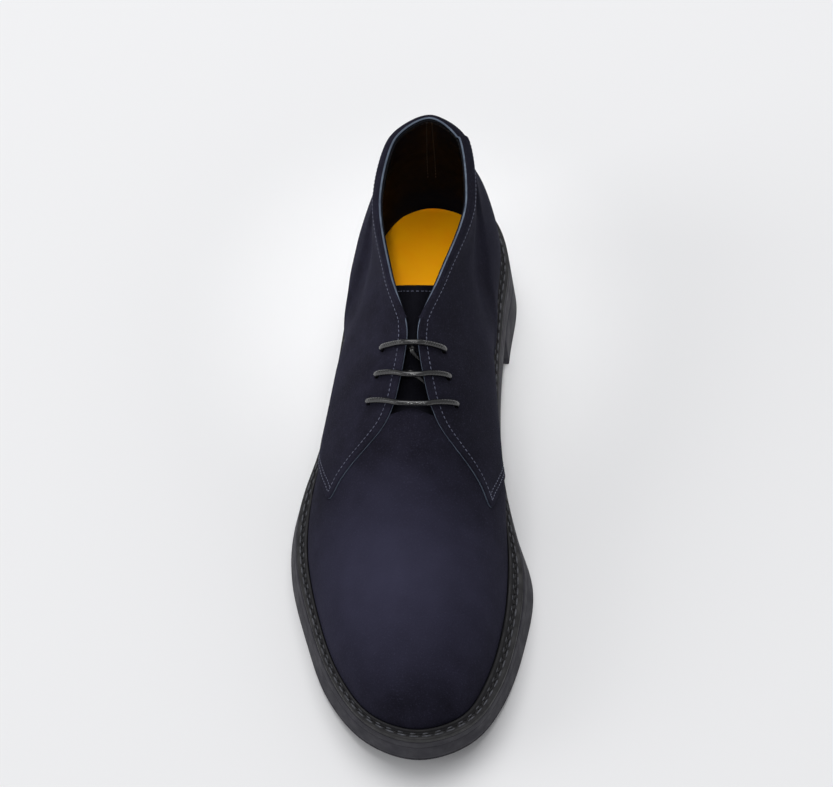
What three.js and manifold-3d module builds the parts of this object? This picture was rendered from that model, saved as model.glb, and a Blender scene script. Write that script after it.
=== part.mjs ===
// Chukka boot for the right foot, EU 42. Millimetres, +Z up, toe towards -Y, inner side towards +X.
// Every piece is worked out from one last: ribs that climb from the feather line, where the upper
// meets the sole, to the ridge of the instep or, behind the throat, to the topline of the collar.
import * as THREE from 'three';
import { mergeVertices } from 'three/addons/utils/BufferGeometryUtils.js';
import Module from 'manifold-3d';

// Clearance between pieces that touch in the real boot.
const fitGap = 0.3;

// Leather and suede.
const vampThickness = 2.0;
const quarterLining = 1.7;
const quarterProud = 1.2;
const flapLining = 0.6;
const tongueThickness = 1.9;
const tongueUnderVamp = 3.1;
const tongueUnderLace = 6.4;
const tongueCrown = 0.8;

// Sole stack: heel, outsole, midsole, insole and welt.
const insoleThickness = 3.0;
const insoleInset = 2.8;
const insoleHeelInset = 2.6;
const insoleHeelStart = 9.6;
const midsoleThickness = 4.5;
const outsoleAtHeel = 20.0;
const heelWallDrop = 1.5;
const weltRimHeight = 3.0;
const weltBeadHeight = 4.6;
const weltInnerEdge = 0.4;
const weltBeadGap = 0.55;
const treadDepth = 3.2;
const treadGroove = 4.6;
const treadBorder = 9.0;
const treadCutterBelow = 6.0;
const heelFrontLap = 7.86;

// Lace and its punched eyelets.
const laceRadius = 1.35;
const laceOver = 3.0;
const laceUnder = -2.6;
const laceRise = 0.8;
const eyeletRadius = 2.4;

const colours = {
  suede: 0x2e2d3b,
  tongueLeather: 0x26252f,
  insole: 0xd08401,
  weltRubber: 0x2c2b30,
  soleRubber: 0x36353b,
  lace: 0x17171a,
};

// Ribs of the last. footX, footY: its point on the feather line. topX, topY, topZ: its point on the
// ridge or the topline. bulge, rise: how it leaves the foot, outwards and up. reach, drop: how it
// arrives at the top, along and down. rim: how far the welt stands out from the feather line.
// flare: how much further out the wall stands at the ground.
const ribColumns = ['footX', 'footY', 'topX', 'topY', 'topZ', 'bulge', 'rise', 'reach', 'drop', 'rim', 'flare'];
const toeRib = [2.5, -146, 1.5, -108, 54.5, 2, 17, 23, 0, 5.3, 0.7];
const heelRib = [1.0, 139.5, 2.0, 134.8, 106.8, 7, 30, 3, 26, 6.5, 2.0];
const outerRibs = [
  [-17.8, -137.8, 1.4, -105, 55.2, 2, 17, 23, 0, 4.2, 1.6],
  [-33, -115.8, 1.2, -97, 57, 2.5, 18, 24, 0, 4.2, 3.2],
  [-43.3, -87.8, 0.6, -82, 60.2, 3, 20, 26, 0, 4.6, 3.3],
  [-50.4, -56, -0.3, -62, 65, 3, 20, 25, 0, 5.5, 4],
  [-50.2, -28, -1.0, -39, 73.5, 4, 20, 22, 0, 5.5, 4.4],
  [-44, 2, -1.6, -12, 85.5, 5, 22, 18, 0, 4.0, 3],
  [-38, 36, -1.9, 10.5, 98, 6, 26, 13, 3, 4.6, 2.5],
  [-32.5, 72, -13.5, 45, 101.5, 6, 28, 12, 20, 6.0, 3],
  [-29, 104, -20.5, 88, 103, 5.5, 28, 6, 26, 6.5, 3.5],
  [-18, 129, -15.2, 122, 105, 5, 29, 5, 26, 6.0, 3],
];
const innerRibs = [
  [21.8, -138.5, 1.4, -105, 55.2, 2, 17, 23, 0, 5.5, 0.3],
  [32.1, -118.8, 1.2, -97, 57, 2.5, 18, 24, 0, 7, 1.2],
  [38.6, -90.9, 0.6, -82, 60.2, 3, 20, 26, 0, 7.4, 2.8],
  [40.6, -62, -0.3, -62, 65, 3, 20, 25, 0, 7.2, 4.8],
  [38, -33, -1.0, -39, 73.5, 7.5, 21, 22, 0, 4.0, 2.8],
  [33, -2, -1.6, -12, 85.5, 9, 24, 18, 0, 4.0, 1],
  [30.5, 33, -1.9, 10.5, 98, 9, 28, 13, 3, 4.8, 1.5],
  [31, 72, 10.5, 45, 101.5, 7, 28, 12, 20, 6, 3],
  [32, 104, 21.5, 88, 103, 4.5, 28, 6, 26, 7.0, 3.5],
  [22.5, 129, 17.8, 122.3, 105, 4, 29, 5, 26, 7, 3],
];
const heelLap = outerRibs.length + 1;
const throatLap = 7;
const throatY = 10.5;
const throatX = -1.9;

// Heights along the boot: y, z.
const ridgeLine = profile([
  [-108, 54.5], [-105, 55.2], [-97, 57], [-82, 60.2], [-62, 65], [-39, 73.5], [-12, 85.5], [10.5, 98], [14, 99.9],
]);
const seatLine = profile([
  [-152, 26], [-130, 20.5], [-105, 17.2], [-78, 15.5], [-45, 15.5], [-12, 19], [28, 26.5], [65, 32], [90, 34],
  [152, 34.5],
]);
const treadLine = profile([
  [-152, 9.5], [-130, 4.2], [-105, 1], [-85, 0], [-35, 0], [-10, 3], [25, 11], [60, 18.5], [75, outsoleAtHeel],
  [152, outsoleAtHeel],
]);
const toeSpring = profile([[-152, 9.5], [-130, 4.2], [-105, 1], [-85, 0], [152, 0]]);

// Front edge of the quarters, from the feather line to the corner of the flap, up the flap's front
// edge and along the throat to the topline: climb, lap.
const flapCorner = 0.44;
const quarterFront = profile([
  [0, 5.95], [0.1, 5.6], [0.24, 5.15], [flapCorner, 4.64], [0.52, 4.89], [0.6, 5.09], [0.7, 5.31], [0.8, 5.58],
  [0.87, 5.98], [0.905, 6.5], [0.94, 7.05], [1, 7.4],
]);
const vampRear = profile([[0, 5.78], [0.8, 5.72], [1, 5.86]]);

// Eyelets from the top pair to the bottom pair: lap, climb, and how the bar over them leans as it runs inwards.
const eyelets = [
  { lap: 6.84, climb: 0.715, lean: 0.5 },
  { lap: 6.38, climb: 0.705, lean: 0.1 },
  { lap: 5.97, climb: 0.67, lean: -0.3 },
];

// A smooth curve through points that never overshoots them, straight beyond its first point.
function profile(points) {
  const last = points.length - 1;
  const secant = (i) => (points[i + 1][1] - points[i][1]) / (points[i + 1][0] - points[i][0]);
  const slope = (i) => {
    if (i === 0) return secant(0);
    if (i === last) return secant(last - 1);
    return steadySlope(secant(i - 1), secant(i));
  };
  return (x) => {
    if (x <= points[0][0]) return points[0][1] + (x - points[0][0]) * secant(0);
    if (x >= points[last][0]) return points[last][1];
    const i = points.findIndex((point, k) => k < last && x < points[k + 1][0]);
    const span = points[i + 1][0] - points[i][0];
    const t = (x - points[i][0]) / span;
    return hermite(points[i][1], points[i + 1][1], span * slope(i), span * slope(i + 1), t);
  };
}

function steadySlope(before, after) {
  return before * after <= 0 ? 0 : (2 * before * after) / (before + after);
}

function hermite(start, end, startSlope, endSlope, t) {
  const t2 = t * t;
  const t3 = t2 * t;
  return (2 * t3 - 3 * t2 + 1) * start + (t3 - 2 * t2 + t) * startSlope
    + (3 * t2 - 2 * t3) * end + (t3 - t2) * endSlope;
}

function smooth(from, to, x) {
  return THREE.MathUtils.smoothstep(x, from, to);
}

// The rib row number k, counted round the foot: 0 at the toe, below 0 on the outer side.
function ribRow(k) {
  const around = 2 * heelLap;
  const lap = ((((k + heelLap) % around) + around) % around) - heelLap;
  if (lap === 0) return toeRib;
  if (Math.abs(lap) === heelLap) return heelRib;
  return lap < 0 ? outerRibs[-lap - 1] : innerRibs[lap - 1];
}

// The rib at any lap round the foot, from 0 at the toe to 11 at the heel, below 0 on the outer side.
function ribAt(lap) {
  const k = Math.floor(lap);
  const t = lap - k;
  const rows = [ribRow(k - 1), ribRow(k), ribRow(k + 1), ribRow(k + 2)];
  const rib = {};
  ribColumns.forEach((name, c) => {
    const [a, b, d, e] = rows.map((row) => row[c]);
    const top = name.startsWith('top');
    const startSlope = top ? steadySlope(b - a, d - b) : (d - a) / 2;
    const endSlope = top ? steadySlope(d - b, e - d) : (e - b) / 2;
    rib[name] = hermite(b, d, startSlope, endSlope, t);
  });
  return rib;
}

// The horizontal direction that faces out of the feather line.
function outwardAt(lap) {
  const before = ribAt(lap - 0.02);
  const after = ribAt(lap + 0.02);
  return new THREE.Vector3(after.footY - before.footY, before.footX - after.footX, 0).normalize();
}

// A point of the last: climb is 0 at the feather line and 1 at the ridge or the topline.
function lastPoint(lap, climb) {
  const rib = ribAt(lap);
  const onRidge = 1 - smooth(throatLap - 0.8, throatLap + 0.2, Math.abs(lap));
  const ridgeY = Math.min(rib.topY, throatY);
  const ridgeSlope = onRidge * (ridgeLine(ridgeY + 0.4) - ridgeLine(ridgeY - 0.4)) / 0.8;
  const foot = new THREE.Vector3(rib.footX, rib.footY, seatLine(rib.footY) + fitGap);
  const top = new THREE.Vector3(rib.topX, rib.topY, rib.topY < throatY ? ridgeLine(rib.topY) : rib.topZ);
  const inPlan = new THREE.Vector3(foot.x - top.x, foot.y - top.y, 0).normalize();
  const low = foot.clone().addScaledVector(outwardAt(lap), rib.bulge);
  low.z += rib.rise;
  const high = top.clone().addScaledVector(inPlan, rib.reach);
  high.z += ridgeSlope * inPlan.y * rib.reach - rib.drop;
  return new THREE.CubicBezierCurve3(foot, low, high, top).getPoint(climb);
}

// The way out of the last's surface; on the ridge, halfway between its two sides.
function outOfLast(lap, climb) {
  const step = 0.01;
  const level = THREE.MathUtils.clamp(climb, step, 1 - step);
  const along = lastPoint(lap + step, level).sub(lastPoint(lap - step, level));
  const up = lastPoint(lap, level + step).sub(lastPoint(lap, level - step));
  return along.cross(up).normalize();
}

function offsetPoint(lap, climb, offset) {
  const out = outOfLast(lap, climb);
  if (climb > 0.999 && Math.abs(lap) < throatLap) out.add(outOfLast(-lap, climb)).normalize();
  return lastPoint(lap, climb).addScaledVector(out, offset);
}

// Values from start to end in equal steps.
function steps(start, end, count) {
  return Array.from({ length: count + 1 }, (unused, i) => start + ((end - start) * i) / count);
}

// One closed body from a list of triangles.
function closedBody(triangles) {
  const geometry = new THREE.BufferGeometry();
  geometry.setAttribute('position', new THREE.Float32BufferAttribute(triangles.flat().flatMap((p) => p.toArray()), 3));
  return toSolid(geometry);
}

const wasm = await Module();
wasm.setup();

// A solid that manifold-3d can join and cut, with each corner kept once.
function toSolid(geometry) {
  const plain = geometry.clone();
  plain.deleteAttribute('normal');
  plain.deleteAttribute('uv');
  const merged = mergeVertices(plain, 1e-3);
  const corners = merged.index.array;
  const kept = [];
  for (let i = 0; i < corners.length; i += 3) {
    const [a, b, c] = corners.slice(i, i + 3);
    if (a !== b && b !== c && c !== a) kept.push(a, b, c);
  }
  const mesh = new wasm.Mesh({
    numProp: 3,
    vertProperties: new Float32Array(merged.attributes.position.array),
    triVerts: new Uint32Array(kept),
  });
  mesh.merge();
  return new wasm.Manifold(mesh);
}

function toGeometry(solid) {
  const mesh = solid.getMesh();
  const geometry = new THREE.BufferGeometry();
  geometry.setAttribute('position', new THREE.BufferAttribute(mesh.vertProperties, 3));
  geometry.setIndex(new THREE.BufferAttribute(mesh.triVerts, 1));
  geometry.computeVertexNormals();
  return geometry;
}

// Two triangles over four corners that go round anticlockwise as seen from outside.
function patch(a, b, c, d) {
  return [[a, b, c], [a, c, d]];
}

// A wall between an outer and an inner grid of points, closed along its edges. A grid whose first
// row folds onto itself, as at the toe, has no edge there.
function shell(outer, inner, foldedStart = false) {
  const triangles = [];
  const rows = outer.length - 1;
  const columns = outer[0].length - 1;
  for (let i = 0; i < rows; i += 1) {
    for (let j = 0; j < columns; j += 1) {
      triangles.push(...patch(outer[i][j], outer[i][j + 1], outer[i + 1][j + 1], outer[i + 1][j]));
      triangles.push(...patch(inner[i][j], inner[i + 1][j], inner[i + 1][j + 1], inner[i][j + 1]));
    }
    triangles.push(...patch(outer[i][0], outer[i + 1][0], inner[i + 1][0], inner[i][0]));
    triangles.push(...patch(outer[i + 1][columns], outer[i][columns], inner[i][columns], inner[i + 1][columns]));
  }
  for (let j = 0; j < columns; j += 1) {
    if (!foldedStart) triangles.push(...patch(outer[0][j + 1], outer[0][j], inner[0][j], inner[0][j + 1]));
    triangles.push(...patch(outer[rows][j], outer[rows][j + 1], inner[rows][j + 1], inner[rows][j]));
  }
  return closedBody(triangles);
}

// The vamp: arches over the forefoot from its rear edge to the toe.
function vamp() {
  const arch = (share, offset) => steps(-1, 1, 24).map((side) => {
    const climb = 1 - Math.abs(side);
    const lap = vampRear(climb) * share;
    return offsetPoint(side < 0 ? -lap : lap, climb, offset);
  });
  const shares = steps(0, 1, 19);
  return shell(shares.map((share) => arch(share, 0)), shares.map((share) => arch(share, -vampThickness)), true);
}

// How far the quarters stand out of the last, and how far their lining lies inside it. They thin
// out towards the feather line, and the flaps over the tongue and vamp are unlined.
function quarterOuter(climb) {
  return quarterProud * smooth(0, 0.3, climb);
}

function quarterInner(lap, climb) {
  const overVamp = 1 - smooth(5.55, 5.75, Math.abs(lap));
  const overTongue = smooth(0.5, 0.6, climb) * (1 - smooth(7.2, 8, Math.abs(lap)));
  return THREE.MathUtils.lerp(-quarterLining, -flapLining, Math.max(overVamp, overTongue));
}

// The quarters: from the outer flap round the heel to the inner flap, with the eyelets cut.
function quarters() {
  const climbs = [0, 0.05, 0.1, 0.17, 0.24, 0.34, flapCorner, 0.52, 0.6, 0.65, 0.7, 0.75, 0.8, 0.84, 0.87, 0.905,
    0.94, 0.97, 1];
  const row = (climb, offsetAt) => steps(-1, 1, 44).map((side) => {
    const lap = heelLap - Math.abs(side) * (heelLap - quarterFront(climb));
    const signed = side < 0 ? lap : -lap;
    return offsetPoint(signed, climb, offsetAt(signed, climb));
  });
  const outer = climbs.map((climb) => row(climb, (lap, level) => quarterOuter(level)));
  const inner = climbs.map((climb) => row(climb, quarterInner));
  return [-1, 1].reduce(
    (solid, side) => eyelets.reduce((body, eyelet) => body.subtract(punch(side * eyelet.lap, eyelet.climb)), solid),
    shell(outer, inner),
  );
}

// The cutter of one eyelet, square to the surface.
function punch(lap, climb) {
  const cutter = new THREE.CylinderGeometry(eyeletRadius, eyeletRadius, 8, 14);
  const turn = new THREE.Quaternion().setFromUnitVectors(new THREE.Vector3(0, 1, 0), outOfLast(lap, climb));
  cutter.applyQuaternion(turn);
  const middle = lastPoint(lap, climb);
  cutter.translate(middle.x, middle.y, middle.z);
  return toSolid(cutter);
}

// The tongue: arches that hang between the two quarters, from under the vamp to its top edge.
const tongueRibs = profile([[5.5, 0.58], [7, 0.6], [8, 0.72]]);
const tongueCrest = profile([[-39, 73.5], [-12, 85.5], [10.5, 98], [24, 101.4], [44, 104]]);
const tongueEndY = 42;
const tongueEndLap = 7.94;

function tongueDepth(lap) {
  return THREE.MathUtils.lerp(tongueUnderVamp, tongueUnderLace, smooth(5.75, 6.0, lap));
}

function tonguePoint(lap, side, extraDepth) {
  const depth = tongueDepth(lap) + extraDepth;
  const sign = side < 0 ? -1 : 1;
  const edge = tongueRibs(lap);
  const edgePoint = offsetPoint(sign * lap, edge, -depth);
  const up = offsetPoint(sign * lap, edge + 0.02, -depth).sub(edgePoint).normalize();
  const crestY = lap < throatLap ? ribAt(lap).topY
    : THREE.MathUtils.mapLinear(lap, throatLap, tongueEndLap, throatY, tongueEndY);
  const slope = tongueCrest(crestY + 0.5) - tongueCrest(crestY - 0.5);
  const tilt = Math.hypot(1, slope);
  const crest = new THREE.Vector3(throatX, crestY + (depth * slope) / tilt, tongueCrest(crestY) - depth / tilt);
  const pull = tongueCrown * crest.distanceTo(edgePoint);
  const t = 1 - Math.abs(side);
  const axes = ['x', 'y', 'z'];
  const across = { x: -sign, y: 0, z: 0 };
  return new THREE.Vector3(...axes.map((axis) => (
    hermite(edgePoint[axis], crest[axis], pull * up[axis], pull * across[axis], t))));
}

function tongue() {
  const laps = [5.5, 5.62, 5.75, 5.83, 5.92, 6.0, 6.2, 6.45, 6.7, 6.95, 7.2, 7.45, 7.7, tongueEndLap];
  const arch = (lap, extraDepth) => steps(-1, 1, 14).map((side) => tonguePoint(lap, side, extraDepth));
  return shell(laps.map((lap) => arch(lap, 0)), laps.map((lap) => arch(lap, tongueThickness)));
}

// A point of the sole's outer wall at the height that a profile gives along the boot.
function wallPoint(lap, heightAt) {
  const rib = ribAt(lap);
  const out = outwardAt(lap);
  const y = rib.footY + out.y * rib.rim;
  const topZ = seatLine(y) + fitGap + weltRimHeight;
  const fall = (topZ - heightAt(y)) / (topZ - toeSpring(y));
  const reach = rib.rim + rib.flare * fall;
  const point = new THREE.Vector3(rib.footX, rib.footY, 0).addScaledVector(out, reach);
  point.z = heightAt(point.y);
  return point;
}

// A layer of the sole between two outlines that share their laps, from the first lap to the heel.
function layer(laps, topAt, bottomAt) {
  const triangles = [];
  const ends = laps.map((lap) => ({
    outerTop: topAt(-lap), innerTop: topAt(lap), outerBase: bottomAt(-lap), innerBase: bottomAt(lap),
  }));
  for (let i = 0; i < ends.length - 1; i += 1) {
    const [a, b] = [ends[i], ends[i + 1]];
    triangles.push(...patch(a.outerTop, a.innerTop, b.innerTop, b.outerTop));
    triangles.push(...patch(a.outerBase, b.outerBase, b.innerBase, a.innerBase));
    triangles.push(...patch(a.innerTop, a.innerBase, b.innerBase, b.innerTop));
    triangles.push(...patch(a.outerTop, b.outerTop, b.outerBase, a.outerBase));
  }
  const front = ends[0];
  triangles.push(...patch(front.outerTop, front.outerBase, front.innerBase, front.innerTop));
  return closedBody(triangles);
}

const soleLaps = steps(0, heelLap, 38);

function insole() {
  const outline = (lap, height) => {
    const rib = ribAt(lap);
    const inset = insoleInset + insoleHeelInset * smooth(insoleHeelStart, heelLap, Math.abs(lap));
    const point = new THREE.Vector3(rib.footX, rib.footY, 0).addScaledVector(outwardAt(lap), -inset);
    point.z = seatLine(point.y) + fitGap + height;
    return point;
  };
  return layer(soleLaps, (lap) => outline(lap, insoleThickness), (lap) => outline(lap, 0));
}

function midsole() {
  return layer(
    soleLaps,
    (lap) => wallPoint(lap, seatLine),
    (lap) => wallPoint(lap, (y) => seatLine(y) - midsoleThickness),
  );
}

// A groove of the tread that runs across the sole, with round ends, short of both walls.
function treadCutter(y, baseZ) {
  const outer = crossing(y, -1) + treadBorder;
  const inner = crossing(y, 1) - treadBorder;
  const r = treadGroove / 2;
  const slot = new THREE.Shape();
  slot.moveTo(outer, y - r);
  slot.lineTo(inner, y - r);
  slot.absarc(inner, y, r, -Math.PI / 2, Math.PI / 2, false);
  slot.lineTo(outer, y + r);
  slot.absarc(outer, y, r, Math.PI / 2, (3 * Math.PI) / 2, false);
  const cutter = new THREE.ExtrudeGeometry(slot, { depth: treadCutterBelow + treadDepth, bevelEnabled: false, curveSegments: 6 });
  cutter.translate(0, 0, baseZ - treadCutterBelow);
  return toSolid(cutter);
}

// Where the sole's wall crosses a station along the boot, on the outer (-1) or inner (1) side.
function crossing(y, side) {
  let low = 0.5;
  let high = heelLap - 0.2;
  for (let i = 0; i < 24; i += 1) {
    const middle = (low + high) / 2;
    if (wallPoint(side * middle, treadLine).y < y) low = middle;
    else high = middle;
  }
  return wallPoint(side * low, treadLine).x;
}

function outsole() {
  const slab = layer(
    soleLaps,
    (lap) => wallPoint(lap, (y) => seatLine(y) - midsoleThickness - fitGap),
    (lap) => wallPoint(lap, treadLine),
  );
  const grooves = steps(-133, -37, 8).map((y) => treadCutter(y, treadLine(y)));
  return grooves.reduce((solid, cutter) => solid.subtract(cutter), slab);
}

function heel() {
  const laps = [heelFrontLap, ...steps(8, heelLap, 12)];
  const slab = layer(
    laps,
    (lap) => wallPoint(lap, () => outsoleAtHeel - heelWallDrop).setZ(heelTop(lap)),
    (lap) => wallPoint(lap, () => 0),
  );
  const grooves = steps(84, 132, 4).map((y) => treadCutter(y, 0));
  return grooves.reduce((solid, cutter) => solid.subtract(cutter), slab);
}

function heelTop(lap) {
  return treadLine(wallPoint(lap, treadLine).y) - fitGap;
}

// The welt: a ring with a raised bead against the upper, a groove and a flat rim.
function welt() {
  const section = (lap) => {
    const rib = ribAt(lap);
    const out = outwardAt(lap);
    const foot = new THREE.Vector3(rib.footX, rib.footY, 0);
    const climb = weltBeadHeight / (3 * rib.rise);
    const beside = offsetPoint(lap, climb, quarterOuter(climb)).sub(foot);
    const start = beside.dot(out) + weltBeadGap;
    const width = rib.rim - start;
    const corners = [
      [weltInnerEdge, 0], [start, weltBeadHeight - 0.5], [start + 0.13 * width, weltBeadHeight],
      [start + 0.27 * width, weltBeadHeight - 0.2], [start + 0.4 * width, 2.6], [start + 0.5 * width, 2.2],
      [start + 0.58 * width, weltRimHeight - 0.1], [rib.rim - 0.3, weltRimHeight], [rib.rim, weltRimHeight - 0.4],
      [rib.rim, 0],
    ];
    return corners.map(([reach, height]) => {
      const point = foot.clone().addScaledVector(out, reach);
      point.z = seatLine(point.y) + fitGap + height;
      return point;
    });
  };
  const sections = steps(-heelLap, heelLap, 66).slice(0, -1).map(section);
  const triangles = [];
  sections.forEach((near, i) => {
    const far = sections[(i + 1) % sections.length];
    near.forEach((corner, j) => {
      const next = (j + 1) % near.length;
      triangles.push(...patch(corner, near[next], far[next], far[j]));
    });
  });
  return closedBody(triangles);
}

// The lace: over each pair of eyelets in a straight bar, slanting up underneath from the inner to
// the outer side, with both hidden ends beside the top eyelets.
function laceRoute() {
  const side = { outer: -1, inner: 1 };
  const at = (edge, pair, inwards, offset) => {
    const eyelet = eyelets[pair];
    return offsetPoint(side[edge] * (eyelet.lap + inwards * eyelet.lean), eyelet.climb + inwards * 0.95, offset);
  };
  const through = (edge, pair, upwards) => {
    const points = [
      at(edge, pair, 0.03, laceUnder + 0.25), at(edge, pair, 0, -1.1), at(edge, pair, 0, 1.4),
      at(edge, pair, 0.03, laceOver - 0.2),
    ];
    return upwards ? points : points.reverse();
  };
  const bar = (pair, fromOuter) => {
    const points = [
      at('outer', pair, 0.1, laceOver), at('outer', pair, 0.18, laceOver), at('outer', pair, 0.25, laceOver + 0.2),
      at('inner', pair, 0.25, laceOver + 0.2), at('inner', pair, 0.18, laceOver), at('inner', pair, 0.1, laceOver),
    ];
    return fromOuter ? points : points.reverse();
  };
  const slant = (lower, upper) => [0.13, 0.25, 0.36, 0.46, 0.54, 0.64, 0.75, 0.87].map((share) => {
    const lap = THREE.MathUtils.lerp(eyelets[lower].lap, eyelets[upper].lap, share);
    const climb = THREE.MathUtils.lerp(eyelets[lower].climb, eyelets[upper].climb, share);
    const inwards = (1 - Math.abs(1 - 2 * share)) * (1 - climb);
    const offset = laceUnder + laceRise * smooth(0.8, 1, 1 - Math.abs(1 - 2 * share));
    return offsetPoint((share < 0.5 ? 1 : -1) * (lap + inwards), climb + inwards, offset);
  });
  const hidden = [[6.6, 0.6], [6.35, 0.585], [6.1, 0.6]].map(([lap, climb]) => offsetPoint(-lap, climb, laceUnder));
  return [
    ...hidden,
    ...through('outer', 2, true).slice(1), ...bar(2, true), ...through('inner', 2, false),
    ...slant(2, 1),
    ...through('outer', 1, true), ...bar(1, true), ...through('inner', 1, false),
    ...slant(1, 0),
    ...through('outer', 0, true), ...bar(0, true), ...through('inner', 0, false),
  ];
}

function lace() {
  const section = new THREE.Shape(steps(0, 2 * Math.PI, 8).slice(0, -1).map((angle) => (
    new THREE.Vector2(laceRadius * Math.cos(angle), laceRadius * Math.sin(angle)))));
  const route = new THREE.CatmullRomCurve3(laceRoute(), false, 'centripetal');
  return toSolid(new THREE.ExtrudeGeometry(section, { steps: 80, extrudePath: route, bevelEnabled: false }));
}

function pieceMesh(name, solid, color, roughness) {
  const mesh = new THREE.Mesh(toGeometry(solid), new THREE.MeshStandardMaterial({ color, roughness, metalness: 0 }));
  mesh.name = name;
  return mesh;
}

const boot = new THREE.Group();
boot.add(
  pieceMesh('upper', vamp().add(quarters()), colours.suede, 0.95),
  pieceMesh('tongue', tongue(), colours.tongueLeather, 0.85),
  pieceMesh('insole', insole(), colours.insole, 0.6),
  pieceMesh('welt', welt(), colours.weltRubber, 0.6),
  pieceMesh('midsole', midsole(), colours.soleRubber, 0.5),
  pieceMesh('outsole', outsole(), colours.soleRubber, 0.5),
  pieceMesh('heel', heel(), colours.soleRubber, 0.5),
  pieceMesh('lace', lace(), colours.lace, 0.4),
);

// The origin lies under the middle of the boot, on the ground.
const box = new THREE.Box3().setFromObject(boot);
boot.position.set(-(box.min.x + box.max.x) / 2, -(box.min.y + box.max.y) / 2, -box.min.z);
boot.updateMatrixWorld(true);

export default boot;
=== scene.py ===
"""Chukka boot for the right foot in dark navy suede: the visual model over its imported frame.

Every curved piece follows one last, the same one that the frame's solids were cut to. A place on the last
is a lap, counted round the foot from 0 at the toe to 11 at the heel and below 0 on the outer side, and a
climb, from 0 at the feather line to 1 at the ridge of the instep or at the topline. Sizes are in
millimetres until a mesh is made.
"""

import logging
import math
from collections.abc import Callable
from dataclasses import dataclass, field
from enum import Enum

import bmesh
import bpy
import numpy as np
from mathutils import Matrix, Vector

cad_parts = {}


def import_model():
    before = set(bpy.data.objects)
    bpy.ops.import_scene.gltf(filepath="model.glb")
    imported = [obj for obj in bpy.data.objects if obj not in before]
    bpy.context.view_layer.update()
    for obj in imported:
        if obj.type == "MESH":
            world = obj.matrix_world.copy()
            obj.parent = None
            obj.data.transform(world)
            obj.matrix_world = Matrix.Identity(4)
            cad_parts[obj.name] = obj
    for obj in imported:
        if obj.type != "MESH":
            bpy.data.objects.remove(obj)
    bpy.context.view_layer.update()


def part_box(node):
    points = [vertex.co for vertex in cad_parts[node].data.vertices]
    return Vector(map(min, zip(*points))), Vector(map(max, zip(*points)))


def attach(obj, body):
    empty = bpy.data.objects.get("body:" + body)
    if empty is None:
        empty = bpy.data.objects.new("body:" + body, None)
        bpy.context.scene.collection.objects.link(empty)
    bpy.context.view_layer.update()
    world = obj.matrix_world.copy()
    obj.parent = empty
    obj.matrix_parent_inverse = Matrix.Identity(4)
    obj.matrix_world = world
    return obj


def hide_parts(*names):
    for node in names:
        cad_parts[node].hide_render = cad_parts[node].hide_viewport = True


LOG = logging.getLogger("chukka_boot")
MM = 0.001
HEEL_LAP = 11
FIT_GAP = 0.3

# Where the ridge of the instep ends and the throat opens, and how long a lap and a climb are there.
THROAT_LAP = 7.0
THROAT_X = -1.9
THROAT_Y = 10.5
MM_PER_LAP = 27.0
MM_PER_CLIMB = 68.0

WELT_RIM_HEIGHT = 3.0

Height = Callable[[np.ndarray], np.ndarray]
Socket = bpy.types.NodeSocket


class Side(Enum):
    """The two sides of the foot, with the sign of their laps."""

    OUTER = -1
    INNER = 1


class Slot(Enum):
    """The record's material slots."""

    SUEDE = "suede"
    TONGUE = "tongue_suede"
    INSOLE = "insole_leather"
    WELT = "welt_rubber"
    SOLE = "sole_rubber"
    LACE = "lace_cotton"


def smooth(start: float, end: float, x: np.ndarray) -> np.ndarray:
    """Eases from 0 at start to 1 at end.

    Args:
        start: where it begins to rise.
        end: where it has risen.
        x: places to read.

    Returns:
        The eased values, from 0 to 1.
    """
    t = np.clip((np.asarray(x, float) - start) / (end - start), 0, 1)
    return t * t * (3 - 2 * t)


def hermite(
    start: np.ndarray, end: np.ndarray, start_slope: np.ndarray, end_slope: np.ndarray, t: np.ndarray
) -> np.ndarray:
    """The cubic between two values with given slopes, for numbers or arrays.

    Args:
        start: value at t = 0.
        end: value at t = 1.
        start_slope: slope at t = 0.
        end_slope: slope at t = 1.
        t: place between them, from 0 to 1.

    Returns:
        The value at t.
    """
    t2, t3 = t * t, t * t * t
    leaving = (2 * t3 - 3 * t2 + 1) * start + (t3 - 2 * t2 + t) * start_slope
    return leaving + (3 * t2 - 2 * t3) * end + (t3 - t2) * end_slope


def steady_slope(before: np.ndarray, after: np.ndarray) -> np.ndarray:
    """The slope between two secants that lets a curve through them never overshoot.

    Args:
        before: the slope of the stretch before.
        after: the slope of the stretch after.

    Returns:
        The slope at the point between them.
    """
    total = before + after
    return np.where(before * after <= 0, 0.0, 2 * before * after / np.where(total == 0, 1, total))


@dataclass(frozen=True)
class Profile:
    """A smooth curve through points that never overshoots them, straight before its first point."""

    points: tuple[tuple[float, float], ...]

    def __call__(self, x: np.ndarray) -> np.ndarray:
        """The curve's height at x.

        Args:
            x: places to read.

        Returns:
            Its heights there.
        """
        xs, ys = np.array(self.points, float).T
        secants = np.diff(ys) / np.diff(xs)
        slopes = np.concatenate(([secants[0]], steady_slope(secants[:-1], secants[1:]), [secants[-1]]))
        x = np.asarray(x, float)
        i = np.clip(np.searchsorted(xs, x, side="right") - 1, 0, len(xs) - 2)
        span = xs[i + 1] - xs[i]
        t = np.clip((x - xs[i]) / span, 0, 1)
        inside = hermite(ys[i], ys[i + 1], span * slopes[i], span * slopes[i + 1], t)
        return inside + np.minimum(x - xs[0], 0) * secants[0]


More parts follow.
